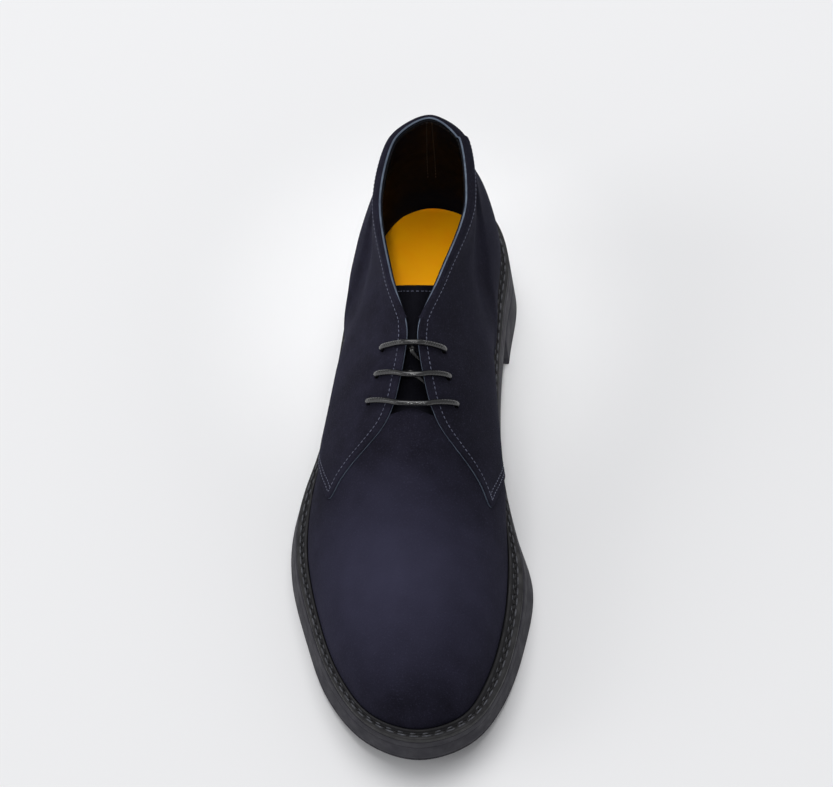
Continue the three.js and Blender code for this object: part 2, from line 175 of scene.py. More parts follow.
# Heights along the boot, y to z: the ridge of the instep, the seat of the sole and its tread.
RIDGE = Profile(((-108, 54.5), (-105, 55.2), (-97, 57), (-82, 60.2), (-62, 65), (-39, 73.5), (-12, 85.5),
                 (THROAT_Y, 98), (14, 99.9)))
SEAT = Profile(((-152, 26), (-130, 20.5), (-105, 17.2), (-78, 15.5), (-45, 15.5), (-12, 19), (28, 26.5),
                (65, 32), (90, 34), (152, 34.5)))
TREAD = Profile(((-152, 9.5), (-130, 4.2), (-105, 1), (-85, 0), (-35, 0), (-10, 3), (25, 11), (60, 18.5),
                 (75, 20), (152, 20)))
TOE_SPRING = Profile(((-152, 9.5), (-130, 4.2), (-105, 1), (-85, 0), (152, 0)))

# Front edge of the quarters, from the feather line to the flap's corner, up the flap and along the
# throat to the topline: climb, lap.
FLAP_CORNER = 0.44
COLLAR_START = 7.4
QUARTER_FRONT = Profile(((0, 5.95), (0.1, 5.7), (0.24, 5.3), (0.35, 4.93), (FLAP_CORNER, 4.64), (0.52, 4.89),
                         (0.6, 5.09), (0.7, 5.31), (0.8, 5.58), (0.87, 5.98), (0.905, 6.5), (0.94, 7.05),
                         (1, COLLAR_START)))
VAMP_REAR = Profile(((0, 5.78), (0.8, 5.72), (1, 5.86)))


@dataclass(frozen=True)
class Last:
    """The form that the boot is made on.

    Each rib's row holds: footX, footY (its point on the feather line), topX, topY, topZ (its point on the
    ridge or the topline), bulge, rise (how it leaves the foot), reach, drop (how it arrives at the top),
    rim (how far the welt stands out) and flare (how much further out the wall stands at the ground).
    """

    toe: tuple[float, ...] = (2.5, -146, 1.5, -108, 54.5, 2, 17, 23, 0, 5.3, 0.7)
    heel: tuple[float, ...] = (1.0, 139.5, 2.0, 134.8, 106.8, 7, 30, 3, 26, 6.5, 2.0)
    outer: tuple[tuple[float, ...], ...] = (
        (-17.8, -137.8, 1.4, -105, 55.2, 2, 17, 23, 0, 4.2, 1.6),
        (-33, -115.8, 1.2, -97, 57, 2.5, 18, 24, 0, 4.2, 3.2),
        (-43.3, -87.8, 0.6, -82, 60.2, 3, 20, 26, 0, 4.6, 3.3),
        (-50.4, -56, -0.3, -62, 65, 3, 20, 25, 0, 5.5, 4),
        (-50.2, -28, -1.0, -39, 73.5, 4, 20, 22, 0, 5.5, 4.4),
        (-44, 2, -1.6, -12, 85.5, 5, 22, 18, 0, 4.0, 3),
        (-38, 36, -1.9, 10.5, 98, 6, 26, 13, 3, 4.6, 2.5),
        (-32.5, 72, -13.5, 45, 101.5, 6, 28, 12, 20, 6.0, 3),
        (-29, 104, -20.5, 88, 103, 5.5, 28, 6, 26, 6.5, 3.5),
        (-18, 129, -15.2, 122, 105, 5, 29, 5, 26, 6.0, 3),
    )
    inner: tuple[tuple[float, ...], ...] = (
        (21.8, -138.5, 1.4, -105, 55.2, 2, 17, 23, 0, 5.5, 0.3),
        (32.1, -118.8, 1.2, -97, 57, 2.5, 18, 24, 0, 7, 1.2),
        (38.6, -90.9, 0.6, -82, 60.2, 3, 20, 26, 0, 7.4, 2.8),
        (40.6, -62, -0.3, -62, 65, 3, 20, 25, 0, 7.2, 4.8),
        (38, -33, -1.0, -39, 73.5, 7.5, 21, 22, 0, 4.0, 2.8),
        (33, -2, -1.6, -12, 85.5, 9, 24, 18, 0, 4.0, 1),
        (30.5, 33, -1.9, 10.5, 98, 9, 28, 13, 3, 4.8, 1.5),
        (31, 72, 10.5, 45, 101.5, 7, 28, 12, 20, 6, 3),
        (32, 104, 21.5, 88, 103, 4.5, 28, 6, 26, 7.0, 3.5),
        (22.5, 129, 17.8, 122.3, 105, 4, 29, 5, 26, 7, 3),
    )
    columns: tuple[str, ...] = (
        "footX", "footY", "topX", "topY", "topZ", "bulge", "rise", "reach", "drop", "rim", "flare")

    def rib(self, lap: np.ndarray) -> dict[str, np.ndarray]:
        """The rib at any lap, column by column.

        Args:
            lap: places round the foot.

        Returns:
            Each column's values at those places, by its name.
        """
        around = np.array([*self.outer[::-1], self.toe, *self.inner, self.heel], float)
        lap = np.asarray(lap, float)
        k = np.floor(lap).astype(int)
        t = lap - k
        a, b, d, e = (around[(k + shift + HEEL_LAP - 1) % (2 * HEEL_LAP)] for shift in (-1, 0, 1, 2))
        values = {}
        for c, name in enumerate(self.columns):
            before, here, after = b[..., c] - a[..., c], d[..., c] - b[..., c], e[..., c] - d[..., c]
            if name.startswith("top"):
                start, end = steady_slope(before, here), steady_slope(here, after)
            else:
                start, end = (before + here) / 2, (here + after) / 2
            values[name] = hermite(b[..., c], d[..., c], start, end, t)
        return values

    def outward(self, lap: np.ndarray) -> np.ndarray:
        """The level direction that faces out of the feather line.

        Args:
            lap: places round the foot.

        Returns:
            Unit directions, with x and y on the last axis.
        """
        before, after = self.rib(np.asarray(lap) - 0.02), self.rib(np.asarray(lap) + 0.02)
        out = np.stack([after["footY"] - before["footY"], before["footX"] - after["footX"]], -1)
        return out / np.linalg.norm(out, axis=-1, keepdims=True)

    def point(self, lap: np.ndarray, climb: np.ndarray) -> np.ndarray:
        """Points of the last's surface.

        Args:
            lap: places round the foot.
            climb: places up the ribs, of the same shape.

        Returns:
            Their coordinates, with x, y and z on the last axis.
        """
        rib, out = self.rib(lap), self.outward(lap)
        on_ridge = 1 - smooth(THROAT_LAP - 0.8, THROAT_LAP + 0.2, np.abs(lap))
        ridge_y = np.minimum(rib["topY"], THROAT_Y)
        slope = on_ridge * (RIDGE(ridge_y + 0.4) - RIDGE(ridge_y - 0.4)) / 0.8
        foot = np.stack([rib["footX"], rib["footY"], SEAT(rib["footY"]) + FIT_GAP], -1)
        top_z = np.where(rib["topY"] < THROAT_Y, RIDGE(rib["topY"]), rib["topZ"])
        top = np.stack([rib["topX"], rib["topY"], top_z], -1)
        plan = foot[..., :2] - top[..., :2]
        plan = plan / np.linalg.norm(plan, axis=-1, keepdims=True)
        low = foot + np.concatenate([out * rib["bulge"][..., None], rib["rise"][..., None]], -1)
        fall = slope * plan[..., 1] * rib["reach"] - rib["drop"]
        high = top + np.concatenate([plan * rib["reach"][..., None], fall[..., None]], -1)
        v = np.asarray(climb, float)[..., None]
        return (1 - v) ** 3 * foot + 3 * (1 - v) ** 2 * v * low + 3 * (1 - v) * v * v * high + v**3 * top

    def across_and_up(self, lap: np.ndarray, climb: np.ndarray) -> tuple[np.ndarray, np.ndarray]:
        """How far a point moves for one lap and for one climb.

        Args:
            lap: places round the foot.
            climb: places up the ribs.

        Returns:
            Both moves, in millimetres.
        """
        step = 0.01
        level = np.clip(climb, step, 1 - step)
        across = (self.point(lap + step, level) - self.point(lap - step, level)) / (2 * step)
        up = (self.point(lap, level + step) - self.point(lap, level - step)) / (2 * step)
        return across, up

    def out_of(self, lap: np.ndarray, climb: np.ndarray) -> np.ndarray:
        """The way out of the surface; on the ridge, halfway between its two sides.

        Args:
            lap: places round the foot.
            climb: places up the ribs.

        Returns:
            Unit directions, with x, y and z on the last axis.
        """
        def facing(laps: np.ndarray) -> np.ndarray:
            """The way out on one side of the ridge."""
            across, up = self.across_and_up(laps, climb)
            out = np.cross(across, up)
            return out / np.linalg.norm(out, axis=-1, keepdims=True)

        out = facing(lap)
        crest = ((climb > 0.999) & (np.abs(lap) < THROAT_LAP))[..., None]
        out = np.where(crest, out + facing(-lap), out)
        return out / np.linalg.norm(out, axis=-1, keepdims=True)

    def offset(
        self, lap: np.ndarray | float, climb: np.ndarray | float, distance: np.ndarray | float
    ) -> np.ndarray:
        """Points a distance outside the surface.

        Args:
            lap: places round the foot.
            climb: places up the ribs.
            distance: how far outside each one lies, below 0 for inside.

        Returns:
            Their coordinates.
        """
        given = (np.asarray(value, float) for value in (lap, climb, distance))
        lap, climb, distance = np.broadcast_arrays(*given)
        return self.point(lap, climb) + self.out_of(lap, climb) * distance[..., None]

    def wall(self, lap: np.ndarray, height_at: Height, inset: float = 0.0) -> np.ndarray:
        """Points of the sole's outer wall.

        Args:
            lap: places round the foot.
            height_at: a function from y to the wall's height there.
            inset: how far inside the wall the points lie.

        Returns:
            Their coordinates.
        """
        rib, out = self.rib(lap), self.outward(lap)
        y = rib["footY"] + out[..., 1] * rib["rim"]
        top = SEAT(y) + FIT_GAP + WELT_RIM_HEIGHT
        reach = rib["rim"] + rib["flare"] * (top - height_at(y)) / (top - TOE_SPRING(y)) - inset
        plan = np.stack([rib["footX"], rib["footY"]], -1) + out * reach[..., None]
        height = np.broadcast_to(height_at(plan[..., 1]), plan.shape[:-1])
        return np.concatenate([plan, height[..., None]], -1)


LAST = Last()


@dataclass(frozen=True)
class Crease:
    """A soft ridge or trough along a path on the last.

    The path's points are lap and climb; width is the distance at which it has died away, and height is
    below 0 for a trough, both in millimetres.
    """

    path: tuple[tuple[float, float], ...]
    width: float
    height: float

    def lift(self, lap: np.ndarray, climb: np.ndarray) -> np.ndarray:
        """How far the crease lifts the surface at each place.

        Args:
            lap: places round the foot.
            climb: places up the ribs.

        Returns:
            The lift at each place, in millimetres.
        """
        scale = np.array([MM_PER_LAP, MM_PER_CLIMB])
        places = np.stack([lap, climb], -1) * scale
        nearest = np.full(lap.shape, np.inf)
        for start, end in zip(self.path[:-1], self.path[1:]):
            a, b = np.array(start) * scale, np.array(end) * scale
            share = np.clip(((places - a) @ (b - a)) / ((b - a) @ (b - a)), 0, 1)
            nearest = np.minimum(nearest, np.linalg.norm(places - a - share[..., None] * (b - a), axis=-1))
        return self.height * np.exp(-((2 * nearest / self.width) ** 2))


# ---------------------------------------------------------------------------------------------------------
# Finishes
# ---------------------------------------------------------------------------------------------------------


def linear(colour: str) -> tuple[float, float, float, float]:
    """A linear colour with full alpha from an sRGB hex value such as #2e2d3b.

    Args:
        colour: the hex value.

    Returns:
        Red, green, blue and alpha.
    """
    parts = [int(colour[i : i + 2], 16) / 255 for i in (1, 3, 5)]
    return (*(c / 12.92 if c <= 0.04045 else ((c + 0.055) / 1.055) ** 2.4 for c in parts), 1.0)


def add_node(
    tree: bpy.types.NodeTree, kind: str, links: dict | None = None, **settings: object
) -> bpy.types.Node:
    """Adds one node.

    Args:
        tree: the tree that it joins.
        kind: the node's type.
        links: a value, or an output to link, for each input by name or number.
        settings: the node's own properties.

    Returns:
        The node.
    """
    node = tree.nodes.new(kind)
    for name, value in settings.items():
        setattr(node, name, value)
    for name, value in (links or {}).items():
        if isinstance(value, Socket):
            tree.links.new(value, node.inputs[name])
        else:
            node.inputs[name].default_value = value
    return node


def per_metre(size_mm: float) -> float:
    """The texture scale at which one feature is this many millimetres wide."""
    return 1000.0 / size_mm


class Finish:
    """A material in the making: its tree, its shader and where its patterns are read."""

    def __init__(self, name: str) -> None:
        """Starts a material with a bare shader."""
        self.material = bpy.data.materials.new(name)
        self.material.use_nodes = True
        self.tree = self.material.node_tree
        self.tree.nodes.clear()
        self.shader = add_node(self.tree, "ShaderNodeBsdfPrincipled")
        add_node(self.tree, "ShaderNodeOutputMaterial", {"Surface": self.shader.outputs["BSDF"]})
        self.place = add_node(self.tree, "ShaderNodeTexCoord").outputs["Object"]

    def set(self, **values: object) -> "Finish":
        """Sets sockets of the shader by name, with underscores for spaces."""
        for name, value in values.items():
            self.shader.inputs[name.replace("_", " ")].default_value = value
        return self

    def noise(
        self, size_mm: float, detail: float = 3.0, roughness: float = 0.55,
        stretch: tuple[float, float, float] = (1, 1, 1),
    ) -> Socket:
        """A noise pattern.

        Args:
            size_mm: how wide its features are.
            detail: how many finer layers it has.
            roughness: how strong the finer layers are.
            stretch: how many times denser it is along each axis.

        Returns:
            The pattern, about 0.5 on average.
        """
        mapping = add_node(self.tree, "ShaderNodeMapping", {"Vector": self.place, "Scale": stretch})
        links = {"Vector": mapping.outputs["Vector"], "Scale": per_metre(size_mm), "Detail": detail,
                 "Roughness": roughness}
        return add_node(self.tree, "ShaderNodeTexNoise", links).outputs["Fac"]

    def ramp(self, value: Socket, low: float, high: float) -> Socket:
        """Turns the band of a pattern between low and high into 0 to 1."""
        links = {"Value": value, "From Min": low, "From Max": high}
        return add_node(self.tree, "ShaderNodeMapRange", links, clamp=True).outputs["Result"]

    def mix(self, amount: Socket, first: Socket | tuple, second: Socket | tuple) -> Socket:
        """Mixes two colours, or a colour into an earlier mix.

        Args:
            amount: how much of the second shows, from 0 to 1.
            first: the colour at 0.
            second: the colour at 1.

        Returns:
            The mixed colour.
        """
        node = add_node(self.tree, "ShaderNodeMix", data_type="RGBA")
        for socket, value in ((node.inputs[0], amount), (node.inputs[6], first), (node.inputs[7], second)):
            if isinstance(value, Socket):
                self.tree.links.new(value, socket)
            else:
                socket.default_value = value
        return node.outputs[2]

    def math(self, operation: str, first: Socket | float, second: Socket | float) -> Socket:
        """Joins two values, such as two patterns."""
        node = add_node(self.tree, "ShaderNodeMath", {0: first, 1: second}, operation=operation)
        return node.outputs["Value"]

    def colour(self, value: Socket) -> "Finish":
        """Gives the shader its colour pattern."""
        self.tree.links.new(value, self.shader.inputs["Base Color"])
        return self

    def roughness(self, value: Socket) -> "Finish":
        """Gives the shader its roughness pattern."""
        self.tree.links.new(value, self.shader.inputs["Roughness"])
        return self

    def bump(self, height: Socket, depth_mm: float, strength: float) -> "Finish":
        """Raises the surface by a pattern, over any earlier one.

        Args:
            height: the pattern.
            depth_mm: how deep it is.
            strength: how much of it shows.

        Returns:
            The same finish.
        """
        earlier = self.shader.inputs["Normal"].links
        links = {"Height": height, "Distance": depth_mm * MM, "Strength": strength}
        if earlier:
            links["Normal"] = earlier[0].from_socket
        bump = add_node(self.tree, "ShaderNodeBump", links)
        self.tree.links.new(bump.outputs["Normal"], self.shader.inputs["Normal"])
        return self


@dataclass(frozen=True)
class BrushedSuede:
    """Split leather buffed to a nap: matt, with cloudy brushed patches, fine fibres and a pale bloom.

    Real fibres are about 0.1 mm thick. They are drawn coarser, so that the nap shows. Where a suede is given
    highlight and shade colours, a painted highlight lies over the ball of the foot and painted shade on the
    inner side of the quarters.
    """

    name: str
    base: str
    brushed: str
    fibre: str
    patch_mm: float = 16.0
    fibre_mm: float = 0.75
    bloom: float = 0.14
    # Colours, centre and reach of the painted highlight on the ball of the foot, and the painted shade colour
    # for the inner quarters.
    painted_highlight_colour: str = ""
    painted_shade_colour: str = ""
    highlight_centre: tuple[float, float, float] = (-0.004, -0.082, 0.05)
    highlight_reach: tuple[float, float] = (0.07, 0.012)

    def make(self) -> bpy.types.Material:
        """Builds the material."""
        f = Finish(self.name)
        clouds = f.math("ADD", f.noise(self.patch_mm, 4), f.math("MULTIPLY", f.noise(4.5, 3), 0.5))
        patches = f.ramp(clouds, 0.55, 0.95)
        nap = f.mix(patches, linear(self.base), linear(self.brushed))
        if self.painted_highlight_colour:
            # Painted highlight over the ball of the foot, mixed into the nap's colour.
            nap = f.mix(self.painted_highlight(f), nap, linear(self.painted_highlight_colour))
            # Painted shade on the inner side of the quarters.
            nap = f.mix(self.turned(f), nap, linear(self.painted_shade_colour))
        fibres = f.ramp(f.noise(self.fibre_mm, 2, 0.7), 0.56, 0.74)
        f.colour(f.mix(f.math("MULTIPLY", fibres, 0.4), nap, linear(self.fibre)))
        f.bump(f.noise(self.fibre_mm, 3, 0.7), 0.22, 0.9)
        f.bump(f.noise(3.2, 2), 0.25, 0.45)
        f.set(Roughness=0.92, Specular_IOR_Level=0.05, Sheen_Weight=self.bloom, Sheen_Roughness=0.45)
        f.shader.inputs["Sheen Tint"].default_value = linear("#9a9cc4")
        return f.material

    def painted_highlight(self, f: Finish) -> bpy.types.NodeSocket:
        """Painted highlight: a soft lighter patch over the ball of the foot, where the light falls most."""
        links = {0: f.place, 1: self.highlight_centre}
        away = add_node(f.tree, "ShaderNodeVectorMath", links, operation="DISTANCE")
        ragged = f.math("ADD", away.outputs["Value"], f.math("MULTIPLY", f.noise(9, 4), 0.022))
        return f.math("MULTIPLY", f.ramp(ragged, *self.highlight_reach), 0.9)

    # Painted shade on the inner quarters: a darker colour in place of the shade on that side.
    def turned(self, f: Finish) -> bpy.types.NodeSocket:
        """Painted shade: the inner side of the quarters, darkened in colour where it faces away from the
        light.
        """
        axes = add_node(f.tree, "ShaderNodeSeparateXYZ", {"Vector": f.place}).outputs
        inner = f.ramp(axes["X"], 0.0, 0.02)
        rear = f.ramp(axes["Y"], -0.06, -0.01)
        return f.math("MULTIPLY", f.math("MULTIPLY", inner, rear), 0.55)


@dataclass(frozen=True)
class PlainLeather:
    """Smooth leather, dyed through: fine pebbled grain that catches a soft light."""

    name: str
    colour: str
    shade: str
    grain_mm: float
    gloss: float
    depth_mm: float = 0.08
    shine: float = 0.45

    def make(self) -> bpy.types.Material:
        """Builds the material."""
        f = Finish(self.name)
        clouds = f.ramp(f.noise(22, 4), 0.35, 0.7)
        f.colour(f.mix(clouds, linear(self.shade), linear(self.colour)))
        links = {"Vector": f.place, "Scale": per_metre(self.grain_mm)}
        grain = add_node(f.tree, "ShaderNodeTexVoronoi", links, feature="SMOOTH_F1").outputs["Distance"]
        f.bump(grain, self.depth_mm, 0.6)
        f.roughness(f.ramp(f.noise(6, 3), -1.2 + self.gloss, 1.6 + self.gloss))
        f.set(Specular_IOR_Level=self.shine)
        return f.material


@dataclass(frozen=True)
class MouldedRubber:
    """Carbon-black rubber from a polished mould, then trimmed: satin, with fine lines along the edge."""

    name: str
    colour: str
    worn: str
    gloss: float
    lines: bool = False

    def make(self) -> bpy.types.Material:
        """Builds the material."""
        f = Finish(self.name)
        dust = f.ramp(f.noise(9, 5, 0.65), 0.45, 0.8)
        f.colour(f.mix(f.math("MULTIPLY", dust, 0.5), linear(self.colour), linear(self.worn)))
        if self.lines:
            f.bump(f.noise(14, 4, 0.6, (1, 1, 26)), 0.10, 0.55)
        f.bump(f.noise(0.9, 3), 0.05, 0.5)
        f.roughness(f.ramp(f.noise(7, 3), -0.6, 0.55 + 2.2 * self.gloss))
        f.set(Specular_IOR_Level=0.5)
        return f.material


@dataclass(frozen=True)
class SpunThread:
    """Bonded polyester sewing thread: two plies laid together, faintly shiny."""

    name: str
    colour: str
    shade: str

    def make(self) -> bpy.types.Material:
        """Builds the material."""
        f = Finish(self.name)
        f.colour(f.mix(f.ramp(f.noise(1.1, 2), 0.35, 0.65), linear(self.shade), linear(self.colour)))
        f.bump(f.noise(0.3, 2), 0.06, 0.6)
        f.set(Roughness=0.6, Specular_IOR_Level=0.35, Sheen_Weight=0.15)
        return f.material


@dataclass(frozen=True)
class WaxedBraid:
    """Round cotton braid, black and waxed: plaits wind both ways round it, with a painted highlight on their
    crowns.
    """

    name: str
    colour: str
    crown: str
    plait_mm: float = 1.5
    plaits: int = 4

    def make(self) -> bpy.types.Material:
        """Builds the material, from the lace's UV map: u round it from 0 to 1, v along it in millimetres."""
        f = Finish(self.name)
        uv = add_node(f.tree, "ShaderNodeUVMap", uv_map="lace").outputs["UV"]
        split = add_node(f.tree, "ShaderNodeSeparateXYZ", {"Vector": uv})
        turn = f.math("MULTIPLY", split.outputs["X"], 2 * math.pi * self.plaits)
        run = f.math("MULTIPLY", split.outputs["Y"], 2 * math.pi / self.plait_mm)
        left = f.math("SINE", f.math("ADD", turn, run), 0.0)
        right = f.math("SINE", f.math("SUBTRACT", turn, run), 0.0)
        plait_and_painted_highlight = f.ramp(f.math("MAXIMUM", left, right), -0.6, 1.0)
        # Painted highlight: the plaits' crowns are lighter in colour than the valleys between them.
        f.colour(f.mix(plait_and_painted_highlight, linear(self.colour), linear(self.crown)))
        f.bump(plait_and_painted_highlight, 0.07, 0.6)
        f.set(Roughness=0.2, Specular_IOR_Level=0.8)
        return f.material


@dataclass(frozen=True)
class PaintedBoard:
    """Matt pale studio board, even and without marks."""

    name: str
    colour: str

    def make(self) -> bpy.types.Material:
        """Builds the material."""
        f = Finish(self.name)
        f.set(Base_Color=linear(self.colour), Roughness=0.95, Specular_IOR_Level=0.1)
        return f.material


FINISHES = {
    # Vamp and quarters' suede, with a painted highlight over the ball of the foot and painted shade on the
    # inner quarters.
    "suede": BrushedSuede(
        "suede_brushed_navy", "#17161f", "#201f2b", "#3a3a4c", bloom=0.05, painted_highlight_colour="#39384b",
        painted_shade_colour="#101016"),
    # Tongue suede: a darker copy of the navy suede, painted shade for the tongue lying deep in the throat.
    "tongue": BrushedSuede("suede_tongue_navy_painted_shade", "#09090e", "#0f0f15", "#1c1c26", bloom=0.02),
    "cut_edge": BrushedSuede(
        "suede_cut_edge_pale", "#4d5664", "#65707f", "#87919f", patch_mm=5, fibre_mm=0.4),
    "lining": PlainLeather("leather_lining_black", "#080b14", "#05070d", 0.7, 0.05, 0.08, 0.1),
    "insole": PlainLeather("leather_insole_orange", "#ffb000", "#ffa500", 0.8, 0.1, 0.02, 0.08),
    "welt": MouldedRubber("rubber_welt_black", "#0e0d11", "#19181d", 0.2),
    "edge": MouldedRubber("rubber_sole_edge_black", "#2a2930", "#403e46", 0.05, True),
    "tread": MouldedRubber("rubber_tread_black", "#1e1d21", "#302e33", 0.5),
    "thread": SpunThread("thread_grey_blue", "#62667a", "#43465a"),
    "dark_thread": SpunThread("thread_black_waxed", "#222226", "#141417"),
    "welt_thread": SpunThread("thread_welt_grey", "#55565d", "#36373d"),
    # The lace's second colour is the painted highlight on the plaits' crowns.
    "lace": WaxedBraid("braid_waxed_black", "#070708", "#101012"),
}


# ---------------------------------------------------------------------------------------------------------
# Meshes
# ---------------------------------------------------------------------------------------------------------


@dataclass
class Workshop:
    """Makes pieces in the frame's place: it moves the last's sizes to the frame and adds each piece."""

    shift: np.ndarray
    finishes: dict[str, bpy.types.Material]
    made: list[str] = field(default_factory=list)

    def piece(
        self, name: str, verts: np.ndarray, faces: np.ndarray | list, looks: list[str],
        kinds: np.ndarray | None = None,
    ) -> bpy.types.Object:
        """Makes one object from points in the last's millimetres.

        Args:
            name: the piece's name.
            verts: its points.
            faces: the point numbers of each face, outwards.
            looks: the finishes that it wears, by name.
            kinds: for each face, which of the looks it wears, if it isn't the first.

        Returns:
            The object, at the origin.
        """
        mesh = bpy.data.meshes.new(name)
        corners = [list(map(int, face)) for face in faces]
        mesh.from_pydata(((np.asarray(verts) + self.shift) * MM).tolist(), [], corners)
        for look in looks:
            mesh.materials.append(self.finishes[look])
        if kinds is not None:
            mesh.polygons.foreach_set("material_index", np.asarray(kinds, dtype=np.int32))
        mesh.shade_smooth()
        mesh.update()
        piece = bpy.data.objects.new(name, mesh)
        bpy.context.scene.collection.objects.link(piece)
        return piece

    def finish(self, piece: bpy.types.Object, slot: Slot, nodes: tuple[str, ...] = ()) -> None:
        """Lets a piece ride with the boot.

        Args:
            piece: the finished piece.
            slot: the material slot that it belongs to; not used.
            nodes: the CAD nodes that it stands in for.
        """
        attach(piece, "root")
        if nodes:
            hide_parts(*nodes)
        self.made.append(piece.name)
        LOG.info("%s: %d faces", piece.name, len(piece.data.polygons))


def weld(piece: bpy.types.Object, distance_mm: float = 0.01) -> None:
    """Joins points of a piece that lie together.

    Args:
        piece: the piece.
        distance_mm: how close such points are.
    """
    work = bmesh.new()
    work.from_mesh(piece.data)
    bmesh.ops.remove_doubles(work, verts=work.verts, dist=distance_mm * MM)
    bmesh.ops.dissolve_degenerate(work, edges=work.edges, dist=distance_mm * MM * 0.1)
    work.to_mesh(piece.data)
    work.free()


def settle(piece: bpy.types.Object) -> None:
    """Takes a piece's modifiers into its mesh."""
    evaluated = piece.evaluated_get(bpy.context.evaluated_depsgraph_get())
    mesh = bpy.data.meshes.new_from_object(evaluated)
    piece.modifiers.clear()
    old = piece.data
    piece.data = mesh
    bpy.data.meshes.remove(old)
    mesh.name = piece.name


def round_edges(piece: bpy.types.Object, width_mm: float) -> None:
    """Rounds a piece's sharp edges.

    Args:
        piece: the piece.
        width_mm: how far from the edge the rounding starts.
    """
    bevel = piece.modifiers.new("rounded_edge", "BEVEL")
    bevel.width = width_mm * MM
    bevel.segments = 3
    bevel.limit_method = "ANGLE"
    bevel.angle_limit = math.radians(60)


def cut(piece: bpy.types.Object, cutter: bpy.types.Object) -> None:
    """Cuts one object's shape out of a piece and removes the cutter.

    Args:
        piece: the piece to cut.
        cutter: the shape to take away.
    """
    boolean = piece.modifiers.new("cut", "BOOLEAN")
    boolean.operation = "DIFFERENCE"
    boolean.solver = "EXACT"
    boolean.object = cutter
    bpy.context.view_layer.update()
    settle(piece)
    bpy.data.objects.remove(cutter)


def quads(rows: int, columns: int, close_rows: bool = False) -> np.ndarray:
    """The faces of a grid of points, numbered row by row.

    Args:
        rows: how many rows of points it has.
        columns: how many points a row has.
        close_rows: whether the last row joins the first.

    Returns:
        Four point numbers for each face.
    """
    index = np.arange(rows * columns).reshape(rows, columns)
    if close_rows:
        index = np.vstack([index, index[:1]])
    return np.stack([index[:-1, :-1], index[:-1, 1:], index[1:, 1:], index[1:, :-1]], -1).reshape(-1, 4)


def shell(
    outer: np.ndarray, inner: np.ndarray, folded_start: bool = False
) -> tuple[np.ndarray, np.ndarray, np.ndarray]:
    """A wall between two grids of points, closed along its edges.

    Args:
        outer: the outside's points, by row and column.
        inner: the inside's points.
        folded_start: whether the first row folds onto itself and has no edge.

    Returns:
        Its points, its faces and, for each face, 0 outside, 1 on an edge and 2 inside.
    """
    rows, columns = outer.shape[:2]
    count = rows * columns
    index = np.arange(count).reshape(rows, columns)
    outside = quads(rows, columns)
    lines = [index[:, 0], index[::-1, -1], index[-1, :]] + ([] if folded_start else [index[0, ::-1]])
    rims = np.concatenate([
        np.stack([line[:-1], line[1:], line[1:] + count, line[:-1] + count], -1) for line in lines])
    faces = np.concatenate([outside, rims, outside[:, ::-1] + count])
    kinds = np.concatenate([np.zeros(len(outside)), np.ones(len(rims)), np.full(len(outside), 2)]).astype(int)
    return np.concatenate([outer.reshape(-1, 3), inner.reshape(-1, 3)]), faces, kinds


def prism(first: int, size: int) -> list[tuple[int, ...]]:
    """The faces of an upright prism.

    Args:
        first: the number of its first point; its base comes first, then its top.
        size: how many corners its outline has, anticlockwise from above.

    Returns:
        The point numbers of its sides, its base and its top.
    """
    sides = [(first + k, first + (k + 1) % size, first + size + (k + 1) % size, first + size + k)
             for k in range(size)]
    base = tuple(first + k for k in reversed(range(size)))
    return [*sides, base, tuple(first + size + k for k in range(size))]


def run_of(path: np.ndarray) -> np.ndarray:
    """How far along a path each of its points lies."""
    return np.concatenate([[0], np.cumsum(np.linalg.norm(np.diff(path, axis=0), axis=1))])


def spline(points: np.ndarray, spacing: float) -> np.ndarray:
    """A smooth path through points, cut into even steps.

    Args:
        points: the places that it passes.
        spacing: the step between the points returned, in the same unit.

    Returns:
        The path's points.
    """
    ends = np.vstack([2 * points[0] - points[1], points, 2 * points[-1] - points[-2]])
    pieces = []
    for a, b, c, d in zip(ends[:-3], ends[1:-2], ends[2:-1], ends[3:]):
        gaps = [math.sqrt(max(np.linalg.norm(q - p), 1e-6)) for p, q in ((a, b), (b, c), (c, d))]
        start = (b - a) / gaps[0] - (c - a) / (gaps[0] + gaps[1]) + (c - b) / gaps[1]
        end = (c - b) / gaps[1] - (d - b) / (gaps[1] + gaps[2]) + (d - c) / gaps[2]
        t = np.linspace(0, 1, 24, endpoint=False)[:, None]
        pieces.append(hermite(b, c, start * gaps[1], end * gaps[1], t))
    dense = np.vstack([*pieces, points[-1:]])
    length = run_of(dense)
    even = np.linspace(0, length[-1], max(2, int(length[-1] / spacing)))
    return np.stack([np.interp(even, length, dense[:, axis]) for axis in range(3)], -1)


# ---------------------------------------------------------------------------------------------------------
# Upper
# ---------------------------------------------------------------------------------------------------------


# The eyelets from the top pair to the bottom pair, and how the bar over each pair leans as it runs inwards.
EYELETS = ((6.84, 0.715), (6.38, 0.705), (5.97, 0.67))
BAR_LEAN = (0.5, 0.1, -0.3)


